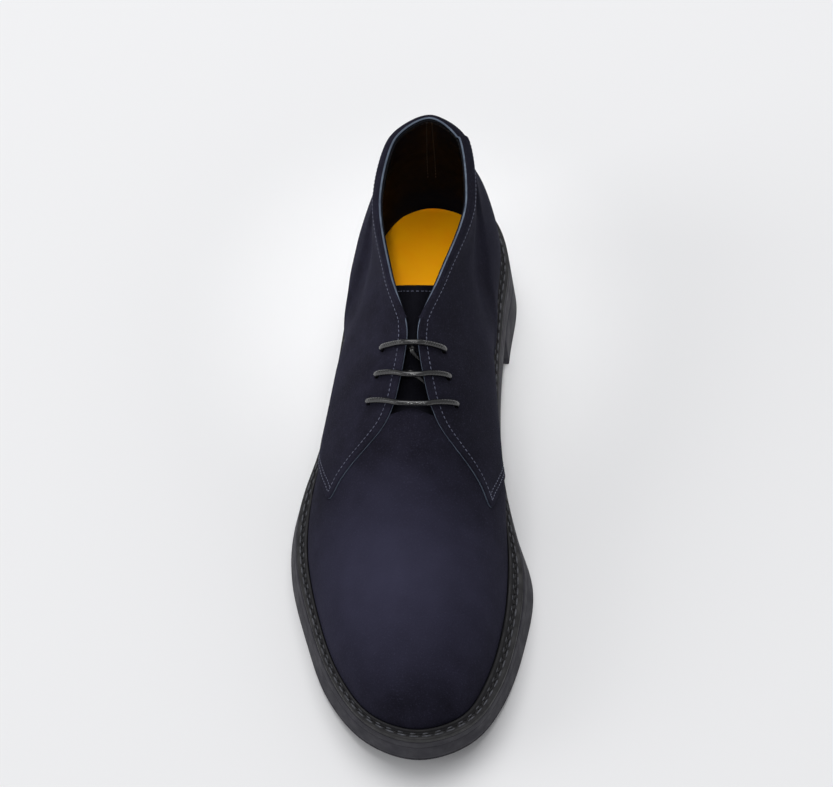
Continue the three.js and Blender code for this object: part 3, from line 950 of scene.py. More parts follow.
@dataclass(frozen=True)
class Upper:
    """The vamp, the quarters with their flaps, the lining and the cut edges."""

    suede: float = 1.2
    vamp_thickness: float = 2.0
    lining: float = 1.7
    flap_lining: float = 0.55
    collar_roll: float = 1.5
    collar_filling: float = 0.55
    seat_filling: float = 2.6
    roll_start: float = 0.985
    seam_lap: float = 10.1
    eyelet_radius: float = 1.75
    foot_thickness: float = 0.3
    foot_proud: float = 0.35
    seam_step: float = 0.75
    edge_fall: float = 0.55
    counter_rise: float = 1.1
    counter_trough: float = 1.5
    padding_outer: float = 1.2
    padding_inner: float = 1.8
    lace_pull: float = 0.45
    lace_pull_reach: float = 3.4
    creases: tuple[Crease, ...] = (
        Crease(((-5.0, 0.40), (-5.4, 0.22), (-5.9, 0.05)), 9, -0.5),
        Crease(((5.0, 0.42), (5.5, 0.24), (6.0, 0.06)), 9, -0.5),
        Crease(((-6.3, 0.50), (-6.9, 0.30), (-7.6, 0.16)), 16, 0.5),
        Crease(((6.4, 0.52), (7.0, 0.34), (7.5, 0.2)), 16, 0.5),
        Crease(((-4.4, 0.62), (-4.7, 0.86), (-4.75, 1.0)), 16, -0.35),
        Crease(((4.3, 0.6), (4.65, 0.86), (4.75, 1.0)), 16, -0.35),
        Crease(((-3.7, 0.5), (-4.0, 0.8), (-4.05, 1.0)), 14, 0.25),
        Crease(((3.7, 0.5), (4.0, 0.8), (4.05, 1.0)), 14, 0.25),
        Crease(((-9.6, 0.72), (-10.2, 0.55), (-10.8, 0.5)), 14, -0.35),
        Crease(((9.8, 0.7), (10.3, 0.55), (10.9, 0.5)), 14, -0.35),
        Crease(((-5.9, 0.2), (-7.0, 0.22), (-8.2, 0.22)), 24, 1.7),
        Crease(((5.5, 0.2), (6.3, 0.24), (7.2, 0.24)), 24, 1.7),
        Crease(((-8.6, 0.62), (-9.4, 0.66), (-10.3, 0.68)), 20, -1.1),
        Crease(((8.8, 0.62), (9.6, 0.66), (10.4, 0.68)), 20, -1.3),
    )
    counter_front: Profile = Profile(
        ((0.0, 7.1), (0.19, 7.57), (0.42, 8.1), (0.61, 8.68), (0.78, 9.4), (0.9, 10.4)))

    def relief(self, lap: np.ndarray, climb: np.ndarray) -> np.ndarray:
        """How far the suede is lifted by its creases, the heel's stiffener, the padding and the lace's pull.

        Args:
            lap: places round the foot.
            climb: places up the ribs.

        Returns:
            The lift at each place, in millimetres.
        """
        lift = sum(crease.lift(lap, climb) for crease in self.creases)
        behind = np.abs(lap) - self.counter_front(climb)
        trough = self.counter_trough * np.exp(-((behind + 0.26) / 0.34) ** 2)
        counter = self.counter_rise * smooth(-0.02, 0.2, behind) - trough
        lift = lift + (1 - smooth(0.72, 0.9, climb)) * counter
        below_edge = smooth(0.82, 0.95, climb) * (1 - smooth(0.965, 1.0, climb))
        round_heel = smooth(7.9, 9.4, np.abs(lap)) * (1 - 0.7 * smooth(10.2, HEEL_LAP, np.abs(lap)))
        lift = lift + below_edge * round_heel * np.where(lap < 0, self.padding_outer, self.padding_inner)
        for eyelet_lap, eyelet_climb in EYELETS:
            away = np.hypot((np.abs(lap) - eyelet_lap) * MM_PER_LAP, (climb - eyelet_climb) * 62)
            lift = lift - self.lace_pull * np.exp(-((away / self.lace_pull_reach) ** 2))
        return lift

    def suede_top(self, lap: np.ndarray, climb: np.ndarray) -> np.ndarray:
        """How far outside the last the quarters' suede lies, lower just behind the inner seam.

        Args:
            lap: places round the foot.
            climb: places up the ribs.

        Returns:
            The distance at each place, in millimetres.
        """
        at_seam = smooth(self.seam_lap - 0.02, self.seam_lap + 0.02, lap)
        behind_seam = at_seam * (1 - smooth(10.25, 10.95, lap)) * smooth(0, 0.1, climb)
        proud = self.foot_proud + (self.suede - self.foot_thickness) * smooth(0, 0.3, climb)
        return proud + self.relief(lap, climb) - self.seam_step * behind_seam

    def at_collar(self, lap: np.ndarray, climb: np.ndarray) -> np.ndarray:
        """How far the wall has thickened towards the rolled topline, from 0 to 1."""
        return smooth(0.93, self.roll_start, climb) * smooth(7.2, 7.9, np.abs(lap))

    def quarter_grid(
        self, front: Profile, climbs: np.ndarray, columns: int
    ) -> tuple[np.ndarray, np.ndarray]:
        """The laps and climbs of the quarters' points, closer together along the flaps' edges.

        Args:
            front: the front edge, climb to lap.
            climbs: the rows' climbs.
            columns: how many points it has from side to side, without those at its edges.

        Returns:
            The laps and the climbs, by row and column.
        """
        edge = np.array([1, 0.9985, 0.997, 0.995, 0.993])
        side = np.concatenate([-edge, np.linspace(-0.989, 0.989, columns), edge[::-1]])
        climb, side = np.meshgrid(climbs, side, indexing="ij")
        lap = HEEL_LAP - np.abs(side) * (HEEL_LAP - front(climb))
        return np.where(side < 0, lap, -lap), climb

    def punches(self, shop: Workshop, radius: float) -> bpy.types.Object:
        """Cutters for the six eyelets, as one object.

        Args:
            shop: the workshop that makes it.
            radius: the eyelets' radius.

        Returns:
            The cutter.
        """
        corners, half_height = 24, 5.0
        verts, faces = [], []
        for side in Side:
            for lap, climb in EYELETS:
                place = LAST.offset(side.value * lap, climb, 0.0)
                out = Vector(LAST.out_of(np.array(side.value * lap), np.array(climb)))
                across = out.orthogonal().normalized()
                along = out.cross(across)
                first = len(verts)
                for level in (-half_height, half_height):
                    for k in range(corners):
                        angle = 2 * math.pi * k / corners
                        edge = across * math.cos(angle) + along * math.sin(angle)
                        verts.append(np.array(Vector(place) + out * level + edge * radius))
                faces += prism(first, corners)
        return shop.piece("eyelet_cutter", np.array(verts), faces, ["lining"])

    def build(self, shop: Workshop) -> None:
        """Builds and dresses the vamp, quarters and lining."""
        self.build_vamp(shop)
        self.build_quarters(shop)
        self.build_lining(shop)

    def build_vamp(self, shop: Workshop) -> None:
        """The vamp, from its rear edge under the flaps to the toe."""
        share, side = np.meshgrid(np.linspace(0, 1, 120), np.linspace(-1, 1, 201), indexing="ij")
        climb = 1 - np.abs(side)
        lap = VAMP_REAR(climb) * share * np.where(side < 0, -1, 1)
        outer = LAST.offset(lap, climb, self.relief(lap, climb))
        inner = LAST.offset(lap, climb, -self.vamp_thickness)
        verts, faces, kinds = shell(outer, inner, folded_start=True)
        vamp = shop.piece("vamp", verts, faces, ["suede", "cut_edge", "lining"], kinds)
        weld(vamp)
        shop.finish(vamp, Slot.SUEDE, ("upper",))

    def build_quarters(self, shop: Workshop) -> None:
        """The quarters' suede: flaps with pale cut edges, punched eyelets and a rolled topline."""
        below = np.concatenate([
            np.linspace(0, FLAP_CORNER, 32)[:-1], np.linspace(FLAP_CORNER, 0.9, 34)[:-1],
            np.linspace(0.9, self.roll_start, 14)])
        roll = np.array([(0.991, 0.08), (0.9955, 0.3), (0.9985, 0.7), (1.0, 1.2), (1.0, 1.85)])
        lap, climb = self.quarter_grid(QUARTER_FRONT, np.concatenate([below, roll[:, 0]]), 281)
        inset = np.concatenate([np.zeros(len(below)), roll[:, 1]])[:, None]
        top = self.suede_top(lap, climb)
        from_edge = (np.abs(lap) - QUARTER_FRONT(climb)) * MM_PER_LAP
        outer = LAST.offset(lap, climb, top - inset - self.edge_fall * (1 - smooth(0, 0.95, from_edge)))
        inner_climb = np.concatenate([below, np.linspace(self.roll_start, 0.998, 6)[1:]])[:, None] + 0 * lap
        thick = self.foot_thickness + (self.suede - self.foot_thickness) * smooth(0, 0.3, climb)
        thick = thick + self.collar_roll * self.at_collar(lap, inner_climb)
        inner = LAST.offset(lap, inner_climb, top - thick)
        verts, faces, kinds = shell(outer, inner)
        quarters = shop.piece("quarters", verts, faces, ["suede", "cut_edge", "lining"], kinds)
        cut(quarters, self.punches(shop, self.eyelet_radius))
        shop.finish(quarters, Slot.SUEDE, ("upper",))

    def lining_face(self, lap: np.ndarray, climb: np.ndarray) -> np.ndarray:
        """How far inside the last the lining's face lies, filled out round the heel seat.

        Args:
            lap: places round the foot.
            climb: places up the ribs.

        Returns:
            The distance at each place, in millimetres.
        """
        thin = smooth(0.5, 0.6, climb) * (1 - smooth(7.2, 8, np.abs(lap)))
        seat = self.seat_filling * (1 - smooth(0, 0.15, climb)) * smooth(8.2, 10.2, np.abs(lap))
        wall = self.lining + (self.flap_lining - self.lining) * thin
        return wall + seat + self.collar_filling * self.at_collar(lap, climb)

    def build_lining(self, shop: Workshop) -> None:
        """The leather that lines the quarters, just short of the suede's edges."""
        front = Profile(tuple((climb, max(lap, float(VAMP_REAR(climb)) + 0.03) + 0.035)
                              for climb, lap in QUARTER_FRONT.points))
        climbs = np.concatenate([np.linspace(0, 0.9, 50)[:-1], np.linspace(0.9, 0.991, 22)])
        lap, climb = self.quarter_grid(front, climbs, 221)
        sunk = np.minimum(self.relief(lap, climb), 0.0)
        outer = LAST.offset(lap, climb, sunk - 0.03 - (self.collar_roll - 0.05) * self.at_collar(lap, climb))
        inner = LAST.offset(lap, climb, sunk - self.lining_face(lap, climb))
        verts, faces, _ = shell(outer, inner)
        lining = shop.piece("lining", verts, faces, ["lining"])
        cut(lining, self.punches(shop, self.eyelet_radius))
        shop.finish(lining, Slot.SUEDE, ("upper",))


@dataclass(frozen=True)
class Tongue:
    """The tongue, an arch that hangs between the quarters from under the vamp to its stitched top edge."""

    thickness: float = 1.8
    under_vamp: float = 3.1
    under_lace: float = 6.4
    crown: float = 0.8
    end_y: float = 42.0
    end_lap: float = 7.94
    edge_climb: Profile = Profile(((5.5, 0.58), (7, 0.6), (8, 0.72)))
    crest: Profile = Profile(((-39, 73.5), (-12, 85.5), (THROAT_Y, 98), (24, 101.4), (44, 104)))

    def arch(self, lap: np.ndarray, side: np.ndarray, extra: float) -> np.ndarray:
        """Points of the tongue.

        Args:
            lap: how far along the throat each lies.
            side: how far across, from -1 on the outer edge to 1 on the inner edge.
            extra: how much deeper than its outer face.

        Returns:
            Their coordinates.
        """
        depth = self.under_vamp + (self.under_lace - self.under_vamp) * smooth(5.75, 6.0, lap) + extra
        sign = np.where(side < 0, -1.0, 1.0)
        edge = self.edge_climb(lap)
        foot = LAST.offset(sign * lap, edge, -depth)
        up = LAST.offset(sign * lap, edge + 0.02, -depth) - foot
        up /= np.linalg.norm(up, axis=-1, keepdims=True)
        share = (lap - THROAT_LAP) / (self.end_lap - THROAT_LAP)
        free_y = THROAT_Y + share * (self.end_y - THROAT_Y)
        crest_y = np.where(lap < THROAT_LAP, LAST.rib(lap)["topY"], free_y)
        slope = self.crest(crest_y + 0.5) - self.crest(crest_y - 0.5)
        tilt = np.hypot(1, slope)
        crest_z = self.crest(crest_y) - depth / tilt
        top = np.stack([np.full(lap.shape, THROAT_X), crest_y + depth * slope / tilt, crest_z], -1)
        pull = self.crown * np.linalg.norm(top - foot, axis=-1, keepdims=True)
        across = np.stack([-sign, 0 * sign, 0 * sign], -1)
        return hermite(foot, top, up * pull, across * pull, (1 - np.abs(side))[..., None])

    def build(self, shop: Workshop) -> None:
        """Builds and dresses the tongue."""
        laps = np.concatenate([np.linspace(5.5, 6.05, 14)[:-1], np.linspace(6.05, self.end_lap, 44)])
        lap, side = np.meshgrid(laps, np.linspace(-1, 1, 61), indexing="ij")
        verts, faces, kinds = shell(self.arch(lap, side, 0.0), self.arch(lap, side, self.thickness))
        tongue = shop.piece("tongue_body", verts, faces, ["tongue", "tongue", "lining"], kinds)
        round_edges(tongue, 0.45)
        shop.finish(tongue, Slot.TONGUE, ("tongue",))

    def stitch_line(self) -> np.ndarray:
        """The row of stitches below the tongue's top edge."""
        side = np.linspace(-0.72, 0.72, 60)
        return self.arch(np.full(side.shape, self.end_lap - 0.1), side, -0.12)


@dataclass(frozen=True)
class Insole:
    """The insole: a smooth leather sock that dips a little towards its middle."""

    thickness: float = 3.0
    inset: float = 2.8
    heel_inset: float = 2.6
    heel_start: float = 9.6
    dip: float = 0.8

    def outline(self, lap: np.ndarray) -> np.ndarray:
        """The insole's edge in plan.

        Args:
            lap: places round the foot.

        Returns:
            Their x and y.
        """
        rib = LAST.rib(lap)
        inset = self.inset + self.heel_inset * smooth(self.heel_start, HEEL_LAP, np.abs(lap))
        return np.stack([rib["footX"], rib["footY"]], -1) - inset[..., None] * LAST.outward(lap)

    def build(self, shop: Workshop) -> None:
        """Builds and dresses the insole."""
        laps = np.linspace(0, HEEL_LAP, 121)
        across = np.linspace(0, 1, 31)
        outer, inner = self.outline(-laps), self.outline(laps)
        plan = outer[:, None] + (inner - outer)[:, None] * across[None, :, None]
        edge = np.abs(2 * across - 1)[None, :] + 0 * laps[:, None]
        seat = SEAT(plan[..., 1]) + FIT_GAP
        top = np.concatenate([plan, (seat + self.thickness - self.dip * (1 - edge**2))[..., None]], -1)
        base = np.concatenate([plan, seat[..., None]], -1)
        verts, faces, _ = shell(top[:, ::-1], base[:, ::-1])
        insole = shop.piece("insole_sock", verts, faces, ["insole"])
        weld(insole)
        orient(insole)
        round_edges(insole, 0.8)
        shop.finish(insole, Slot.INSOLE, ("insole",))


def orient(piece: bpy.types.Object) -> None:
    """Turns a closed piece's faces outwards."""
    work = bmesh.new()
    work.from_mesh(piece.data)
    bmesh.ops.recalc_face_normals(work, faces=work.faces)
    work.to_mesh(piece.data)
    work.free()


# ---------------------------------------------------------------------------------------------------------
# Sole
# ---------------------------------------------------------------------------------------------------------


@dataclass(frozen=True)
class Welt:
    """The storm welt: a ring with a raised bead, a groove for the stitches and a flat rim."""

    rim_height: float = WELT_RIM_HEIGHT
    bead_height: float = 4.6
    bead_gap: float = 0.12
    groove_share: float = 0.49
    groove_depth: float = 0.8
    zigzag_pitch: float = 5.5
    stations: int = 620

    def start(self, lap: np.ndarray) -> np.ndarray:
        """How far outside the feather line the bead's inner face lies.

        Args:
            lap: places round the foot.

        Returns:
            The distance at each place, in millimetres.
        """
        rib, out = LAST.rib(lap), LAST.outward(lap)
        climb = self.bead_height / (3 * rib["rise"])
        quarter = np.abs(lap) > VAMP_REAR(0.0) - 0.6
        lift = np.where(quarter, 0.35 + 0.9 * smooth(0, 0.3, climb), 0.0)
        beside = LAST.offset(lap, climb, lift)[..., :2] - np.stack([rib["footX"], rib["footY"]], -1)
        return np.sum(beside * out, -1) + self.bead_gap

    def at(self, lap: np.ndarray, share: np.ndarray, height: np.ndarray) -> np.ndarray:
        """Points on the welt.

        Args:
            lap: places round the foot.
            share: how far across, from 0 at the bead's inner face to 1 at the rim's edge.
            height: how far above the welt's underside.

        Returns:
            Their coordinates.
        """
        rib, out = LAST.rib(lap), LAST.outward(lap)
        start = self.start(lap)
        reach = start + share * (rib["rim"] - start)
        plan = np.stack([rib["footX"], rib["footY"]], -1) + out * reach[..., None]
        return np.concatenate([plan, (SEAT(plan[..., 1]) + FIT_GAP + height)[..., None]], -1)

    def build(self, shop: Workshop) -> None:
        """Builds and dresses the welt."""
        h, b, g = self.rim_height, self.bead_height, self.groove_depth
        bead = [(0.0, 0.0), (0.0, b - 0.9), (0.03, b - 0.35), (0.09, b - 0.05), (0.16, b), (0.23, b - 0.15),
                (0.28, b - 0.6), (0.32, h + 0.15), (0.37, h)]
        groove = [(0.42, h - 0.3), (0.45, h - g), (self.groove_share, h - g - 0.1), (0.52, h - g),
                  (0.55, h - 0.3)]
        rim = [(0.59, h), (0.75, h + 0.05), (0.93, h), (0.975, h - 0.12), (0.995, h - 0.4), (1.0, h - 0.8),
               (1.0, 0.25), (0.985, 0.0)]
        section = np.array(bead + groove + rim)
        laps = np.linspace(-HEEL_LAP, HEEL_LAP, self.stations, endpoint=False)
        lap = np.repeat(laps[:, None], len(section), 1)
        share = np.repeat(section[None, :, 0], len(laps), 0)
        height = np.repeat(section[None, :, 1], len(laps), 0)
        ring = self.at(lap, share, height)
        ring = np.concatenate([ring, ring[:, :1]], 1)
        verts = ring.reshape(-1, 3)
        faces = quads(len(laps), len(section) + 1, close_rows=True)
        welt = shop.piece("storm_welt", verts, faces, ["welt"])
        weld(welt)
        orient(welt)
        shop.finish(welt, Slot.WELT, ("welt",))

    def line(self, share: float, height: float, count: int = 900) -> np.ndarray:
        """A line of stitches right round the welt.

        Args:
            share: how far across the welt it runs.
            height: how far above the welt's underside.
            count: how many points it has.

        Returns:
            Its points.
        """
        laps = np.linspace(-HEEL_LAP, HEEL_LAP, count)
        return self.at(laps, np.full(count, share), np.full(count, height))

    def groove_line(self) -> np.ndarray:
        """The thread that zigzags along the groove's floor.

        Returns:
            Its points.
        """
        count = 2400
        laps = np.linspace(-HEEL_LAP, HEEL_LAP, count)
        along = run_of(self.line(self.groove_share, 0, count))
        swing = 0.05 * np.sin(along * 2 * math.pi / self.zigzag_pitch)
        height = np.full(count, self.rim_height - self.groove_depth + 0.25)
        return self.at(laps, self.groove_share + swing, height)


def raised(line: Profile, extra: float) -> Height:
    """A line along the boot, moved up by a distance, or down if it is below 0."""
    return lambda y: line(y) + extra


def level(height: float) -> Height:
    """The same height all along the boot."""
    return lambda y: height + 0 * y


@dataclass(frozen=True)
class SoleStack:
    """Midsole, outsole and heel block, with their rounded walls, joint lines and tread."""

    midsole: float = 4.5
    strip: float = 1.7
    groove: float = 4.6
    groove_depth: float = 3.2
    cutter_below: float = 6.0
    border: float = 9.0
    heel_front: float = 7.86

    def slab(
        self, laps: np.ndarray, levels: list[tuple[Height, float]]
    ) -> tuple[np.ndarray, np.ndarray, np.ndarray]:
        """A layer whose wall passes through levels from its top to its base.

        Args:
            laps: places from the front end to the heel, used on both sides.
            levels: for each level, a function from y to its height and how far inside the wall it lies.

        Returns:
            Its points, its faces and, for each face, 0 on the wall and 1 on the top and the base.
        """
        around = np.concatenate([-laps[::-1], laps[1:] if laps[0] == 0 else laps])[:-1]
        rings = np.stack([LAST.wall(around, height, inset) for height, inset in levels])
        count = len(around)
        faces = [quads(len(levels), count)]
        index = np.arange(len(levels) * count).reshape(len(levels), count)
        faces.append(np.stack([index[:-1, -1], index[:-1, 0], index[1:, 0], index[1:, -1]], -1))
        wall = np.concatenate(faces)
        caps = []
        half = count // 2
        for ring, flip in ((index[0], False), (index[-1], True)):
            left = ring[: half + 1][::-1] if laps[0] == 0 else ring[:half][::-1]
            right = np.concatenate([ring[half:], ring[:1]])
            size = min(len(left), len(right))
            cap = np.stack([left[: size - 1], right[: size - 1], right[1:size], left[1:size]], -1)
            caps.append(cap[:, ::-1] if flip else cap)
        kinds = np.concatenate([np.zeros(len(wall)), np.ones(sum(map(len, caps)))]).astype(int)
        return rings.reshape(-1, 3), np.concatenate([wall, *caps]), kinds

    def grooves(self, shop: Workshop, places: np.ndarray, bottom: Height) -> bpy.types.Object:
        """Cutters for the tread's grooves, as one object.

        Args:
            shop: the workshop that makes it.
            places: the grooves' places along the boot.
            bottom: a function from y to the tread's height.

        Returns:
            The cutter.
        """
        verts, faces = [], []
        for y in places:
            low, high = (self.crossing(y, side) for side in Side)
            left, right = low + self.border, high - self.border
            r = self.groove / 2
            arc = np.linspace(-math.pi / 2, math.pi / 2, 11)
            outline = [(right + r * math.cos(turn), y + r * math.sin(turn)) for turn in arc]
            outline += [(left - r * math.cos(turn), y - r * math.sin(turn)) for turn in arc]
            first, size = len(verts), len(outline)
            depth = float(bottom(np.array(y)))
            for z in (depth - self.cutter_below, depth + self.groove_depth):
                verts += [(*corner, z) for corner in outline]
            faces += prism(first, size)
        return shop.piece("groove_cutter", np.array(verts), faces, ["tread"])

    def crossing(self, y: float, side: Side) -> float:
        """Where the sole's wall crosses a station along the boot.

        Args:
            y: the station.
            side: the side of the foot.

        Returns:
            The crossing's x.
        """
        laps = side.value * np.linspace(0.5, HEEL_LAP - 0.2, 400)
        wall = LAST.wall(laps, TREAD)
        return float(np.interp(y, wall[:, 1], wall[:, 0]))

    def build(self, shop: Workshop) -> None:
        """Builds and dresses the three layers."""
        laps = np.linspace(0, HEEL_LAP, 181)
        midsole = self.slab(laps, [
            (raised(SEAT, 0.2), 1.2), (raised(SEAT, 0.15), 0.3), (raised(SEAT, -0.1), 0.06),
            (raised(SEAT, -0.5), 0.0), *((raised(SEAT, rise - self.midsole), inset)
                                         for rise, inset in ((0.5, 0.0), (0.15, 0.04), (0.0, 0.2)))])
        self.dress(shop, "midsole_body", midsole, "midsole")
        shoulder = ((0.05, 1.2), (0.06, 0.2), (0.2, 0.05), (0.5, 0.0), (3.5, 0.0))
        outsole = self.slab(laps, [
            *((raised(SEAT, -self.midsole - drop), inset) for drop, inset in shoulder),
            (raised(TREAD, self.strip + 1.8), 0.0),
            *((raised(TREAD, rise), inset) for rise, inset in self.foot_of_wall()), (TREAD, 4.0)])
        body = self.dress(shop, "outsole_body", outsole, "outsole")
        cut(body, self.grooves(shop, np.linspace(-133, -37, 9), TREAD))
        heel_laps = np.linspace(self.heel_front, HEEL_LAP, 91)
        lip = ((0.0, 0.5), (0.25, 0.1), (0.7, 0.0))
        heel = self.slab(heel_laps, [
            *((raised(TREAD, -FIT_GAP - drop), inset) for drop, inset in lip), (level(9.0), 0.0),
            *((level(height), inset) for height, inset in self.foot_of_wall())])
        block = self.dress(shop, "heel_block", heel, "heel")
        cut(block, self.grooves(shop, np.linspace(84, 132, 5), level(0.0)))

    def foot_of_wall(self) -> list[tuple[float, float]]:
        """The line round the foot of a wall and its rounded lower edge: heights above the tread, insets."""
        s = self.strip
        line = [(s + 0.3, 0.0), (s + 0.15, 0.3), (s - 0.15, 0.3), (s - 0.3, 0.0)]
        return line + [(0.6, 0.05), (0.2, 0.25), (0.0, 0.7)]

    def dress(self, shop: Workshop, name: str, shape: tuple, node: str) -> bpy.types.Object:
        """Makes one layer's piece and gives it its finish.

        Args:
            shop: the workshop that makes it.
            name: the piece's name.
            shape: its points, faces and kinds of face.
            node: the CAD node that it stands in for.

        Returns:
            The piece.
        """
        verts, faces, kinds = shape
        piece = shop.piece(name, verts, faces, ["edge", "tread"], kinds)
        weld(piece, 0.004)
        orient(piece)
        shop.finish(piece, Slot.SOLE, (node,))
        return piece


# ---------------------------------------------------------------------------------------------------------
# Lace and stitches
# ---------------------------------------------------------------------------------------------------------


@dataclass(frozen=True)
class Lace:
    """The round lace: three straight bars over the flaps, slanting runs beneath, ends hidden inside."""

    radius: float = 1.3
    over: float = 2.7
    under: float = -2.6
    rise: float = 0.8
    sides: int = 18

    def route(self) -> np.ndarray:
        """The places that the lace passes.

        Returns:
            Points from its hidden outer end to its hidden inner end.
        """
        def at(side: Side, pair: int, inwards: float, offset: float) -> np.ndarray:
            """A point over or under a flap, inwards from an eyelet by a share of the way to the ridge."""
            lap, climb = EYELETS[pair]
            return LAST.offset(side.value * (lap + inwards * BAR_LEAN[pair]), climb + inwards * 0.95, offset)

        def through(side: Side, pair: int) -> list[np.ndarray]:
            """Up through an eyelet."""
            return [at(side, pair, 0.03, self.under + 0.25), at(side, pair, 0, -1.1), at(side, pair, 0, 1.3),
                    at(side, pair, 0.03, self.over - 0.15)]

        def bar(pair: int) -> list[np.ndarray]:
            """Over the flaps, from the outer to the inner eyelet of a pair."""
            half = [(0.1, self.over), (0.18, self.over), (0.25, self.over + 0.3)]
            outer = [at(Side.OUTER, pair, *step) for step in half]
            return outer + [at(Side.INNER, pair, *step) for step in half[::-1]]

        def slant(lower: int, upper: int) -> list[np.ndarray]:
            """Under the flaps, from an inner eyelet to the outer eyelet of the pair above."""
            points = []
            for share in (0.13, 0.25, 0.36, 0.46, 0.54, 0.64, 0.75, 0.87):
                lap = EYELETS[lower][0] + share * (EYELETS[upper][0] - EYELETS[lower][0])
                climb = EYELETS[lower][1] + share * (EYELETS[upper][1] - EYELETS[lower][1])
                close = 1 - abs(1 - 2 * share)
                inwards = close * (1 - climb)
                side = Side.INNER if share < 0.5 else Side.OUTER
                offset = self.under + self.rise * float(smooth(0.8, 1, close))
                points.append(LAST.offset(side.value * (lap + inwards), climb + inwards, offset))
            return points

        hidden_end = ((6.6, 0.6), (6.35, 0.585), (6.1, 0.6))
        hidden = [LAST.offset(-lap, climb, self.under) for lap, climb in hidden_end]
        route = hidden + through(Side.OUTER, 2)[1:] + bar(2) + through(Side.INNER, 2)[::-1]
        for lower, upper in ((2, 1), (1, 0)):
            route += slant(lower, upper) + through(Side.OUTER, upper)
            route += bar(upper) + through(Side.INNER, upper)[::-1]
        return np.array(route)

    def build(self, shop: Workshop) -> None:
        """Builds and dresses the lace."""
        path = spline(self.route(), 0.45)
        ahead = np.gradient(path, axis=0)
        ahead /= np.linalg.norm(ahead, axis=1, keepdims=True)
        side = np.cross(ahead[0], [0, 0, 1.0])
        rings = []
        for centre, forward in zip(path, ahead):
            side = side - forward * (side @ forward)
            side /= np.linalg.norm(side)
            up = np.cross(forward, side)
            turn = np.linspace(0, 2 * math.pi, self.sides + 1)[:, None]
            rings.append(centre + self.radius * (np.cos(turn) * side + np.sin(turn) * up))
        grid = np.array(rings)
        rows, columns = grid.shape[:2]
        faces = [tuple(face) for face in quads(rows, columns)]
        last_row = (rows - 1) * columns
        faces += [tuple(reversed(range(columns - 1))), tuple(last_row + k for k in range(columns - 1))]
        lace = shop.piece("lace_braid", grid.reshape(-1, 3), faces, ["lace"])
        length = run_of(path)
        uv = lace.data.uv_layers.new(name="lace")
        corners = np.zeros(len(lace.data.loops), dtype=np.int32)
        lace.data.loops.foreach_get("vertex_index", corners)
        pairs = np.stack([(corners % columns) / (columns - 1), length[corners // columns]], -1)
        uv.data.foreach_set("uv", pairs.ravel())
        weld(lace, 0.002)
        orient(lace)
        shop.finish(lace, Slot.LACE, ("lace",))


class StitchTree:
    """A Geometry Nodes tree that lays stitches along a line of edges."""

    def __init__(self, material: bpy.types.Material) -> None:
        """Builds the tree for one thread.

        Args:
            material: the thread's material.
        """
        tree = bpy.data.node_groups.new("stitch_row_" + material.name, "GeometryNodeTree")
        tree.interface.new_socket("Geometry", in_out="INPUT", socket_type="NodeSocketGeometry")
        for name, value in (("Pitch", 3.0), ("Length", 2.0), ("Thickness", 0.6)):
            socket = tree.interface.new_socket(name, in_out="INPUT", socket_type="NodeSocketFloat")
            socket.default_value = value * MM
        tree.interface.new_socket("Geometry", in_out="OUTPUT", socket_type="NodeSocketGeometry")
        given = add_node(tree, "NodeGroupInput")
        curve = add_node(tree, "GeometryNodeMeshToCurve", {"Mesh": given.outputs["Geometry"]})
        points = add_node(tree, "GeometryNodeCurveToPoints", {"Curve": curve.outputs["Curve"]}, mode="LENGTH")
        tree.links.new(given.outputs["Pitch"], points.inputs["Length"])
        ball = add_node(tree, "GeometryNodeMeshUVSphere", {"Segments": 8, "Rings": 6, "Radius": 0.5})
        size = add_node(tree, "ShaderNodeCombineXYZ", {
            "X": given.outputs["Thickness"], "Y": given.outputs["Thickness"], "Z": given.outputs["Length"]})
        instances = add_node(tree, "GeometryNodeInstanceOnPoints", {
            "Points": points.outputs["Points"], "Instance": ball.outputs["Mesh"],
            "Rotation": points.outputs["Rotation"], "Scale": size.outputs["Vector"]})
        solid = add_node(tree, "GeometryNodeRealizeInstances", {"Geometry": instances.outputs["Instances"]})
        dressed = add_node(tree, "GeometryNodeSetMaterial", {
            "Geometry": solid.outputs["Geometry"], "Material": material})
        add_node(tree, "NodeGroupOutput", {"Geometry": dressed.outputs["Geometry"]})
        self.tree = tree

    def sew(
        self, shop: Workshop, name: str, lines: list[np.ndarray], slot: Slot, sizes: dict[str, float]
    ) -> None:
        """Sews rows of stitches.

        Args:
            shop: the workshop that makes them.
            name: the piece's name.
            lines: each row's points, in the last's millimetres.
            slot: the material slot that they ride in.
            sizes: millimetres for the tree's inputs by name.
        """
        verts = np.concatenate(lines)
        edges, first = [], 0
        for line in lines:
            edges += [(first + k, first + k + 1) for k in range(len(line) - 1)]
            first += len(line)
        mesh = bpy.data.meshes.new(name)
        mesh.from_pydata(((verts + shop.shift) * MM).tolist(), edges, [])
        row = bpy.data.objects.new(name, mesh)
        bpy.context.scene.collection.objects.link(row)
        sewing = row.modifiers.new("stitches", "NODES")
        sewing.node_group = self.tree
        for item in self.tree.interface.items_tree:
            if item.in_out == "INPUT" and item.name in sizes:
                sewing[item.identifier] = sizes[item.name] * MM
        bpy.context.view_layer.update()
        settle(row)
        row.data.shade_smooth()
        shop.finish(row, slot)


def round_collar(start: float, count: int) -> np.ndarray:
    """Laps from the outer to the inner side, round the heel.

    Args:
        start: the lap at both ends, without its sign.
        count: how many laps it gives.

    Returns:
        The laps.
    """
    laps = np.linspace(start, 2 * HEEL_LAP - start, count)
    return np.where(laps > HEEL_LAP, laps - 2 * HEEL_LAP, laps)


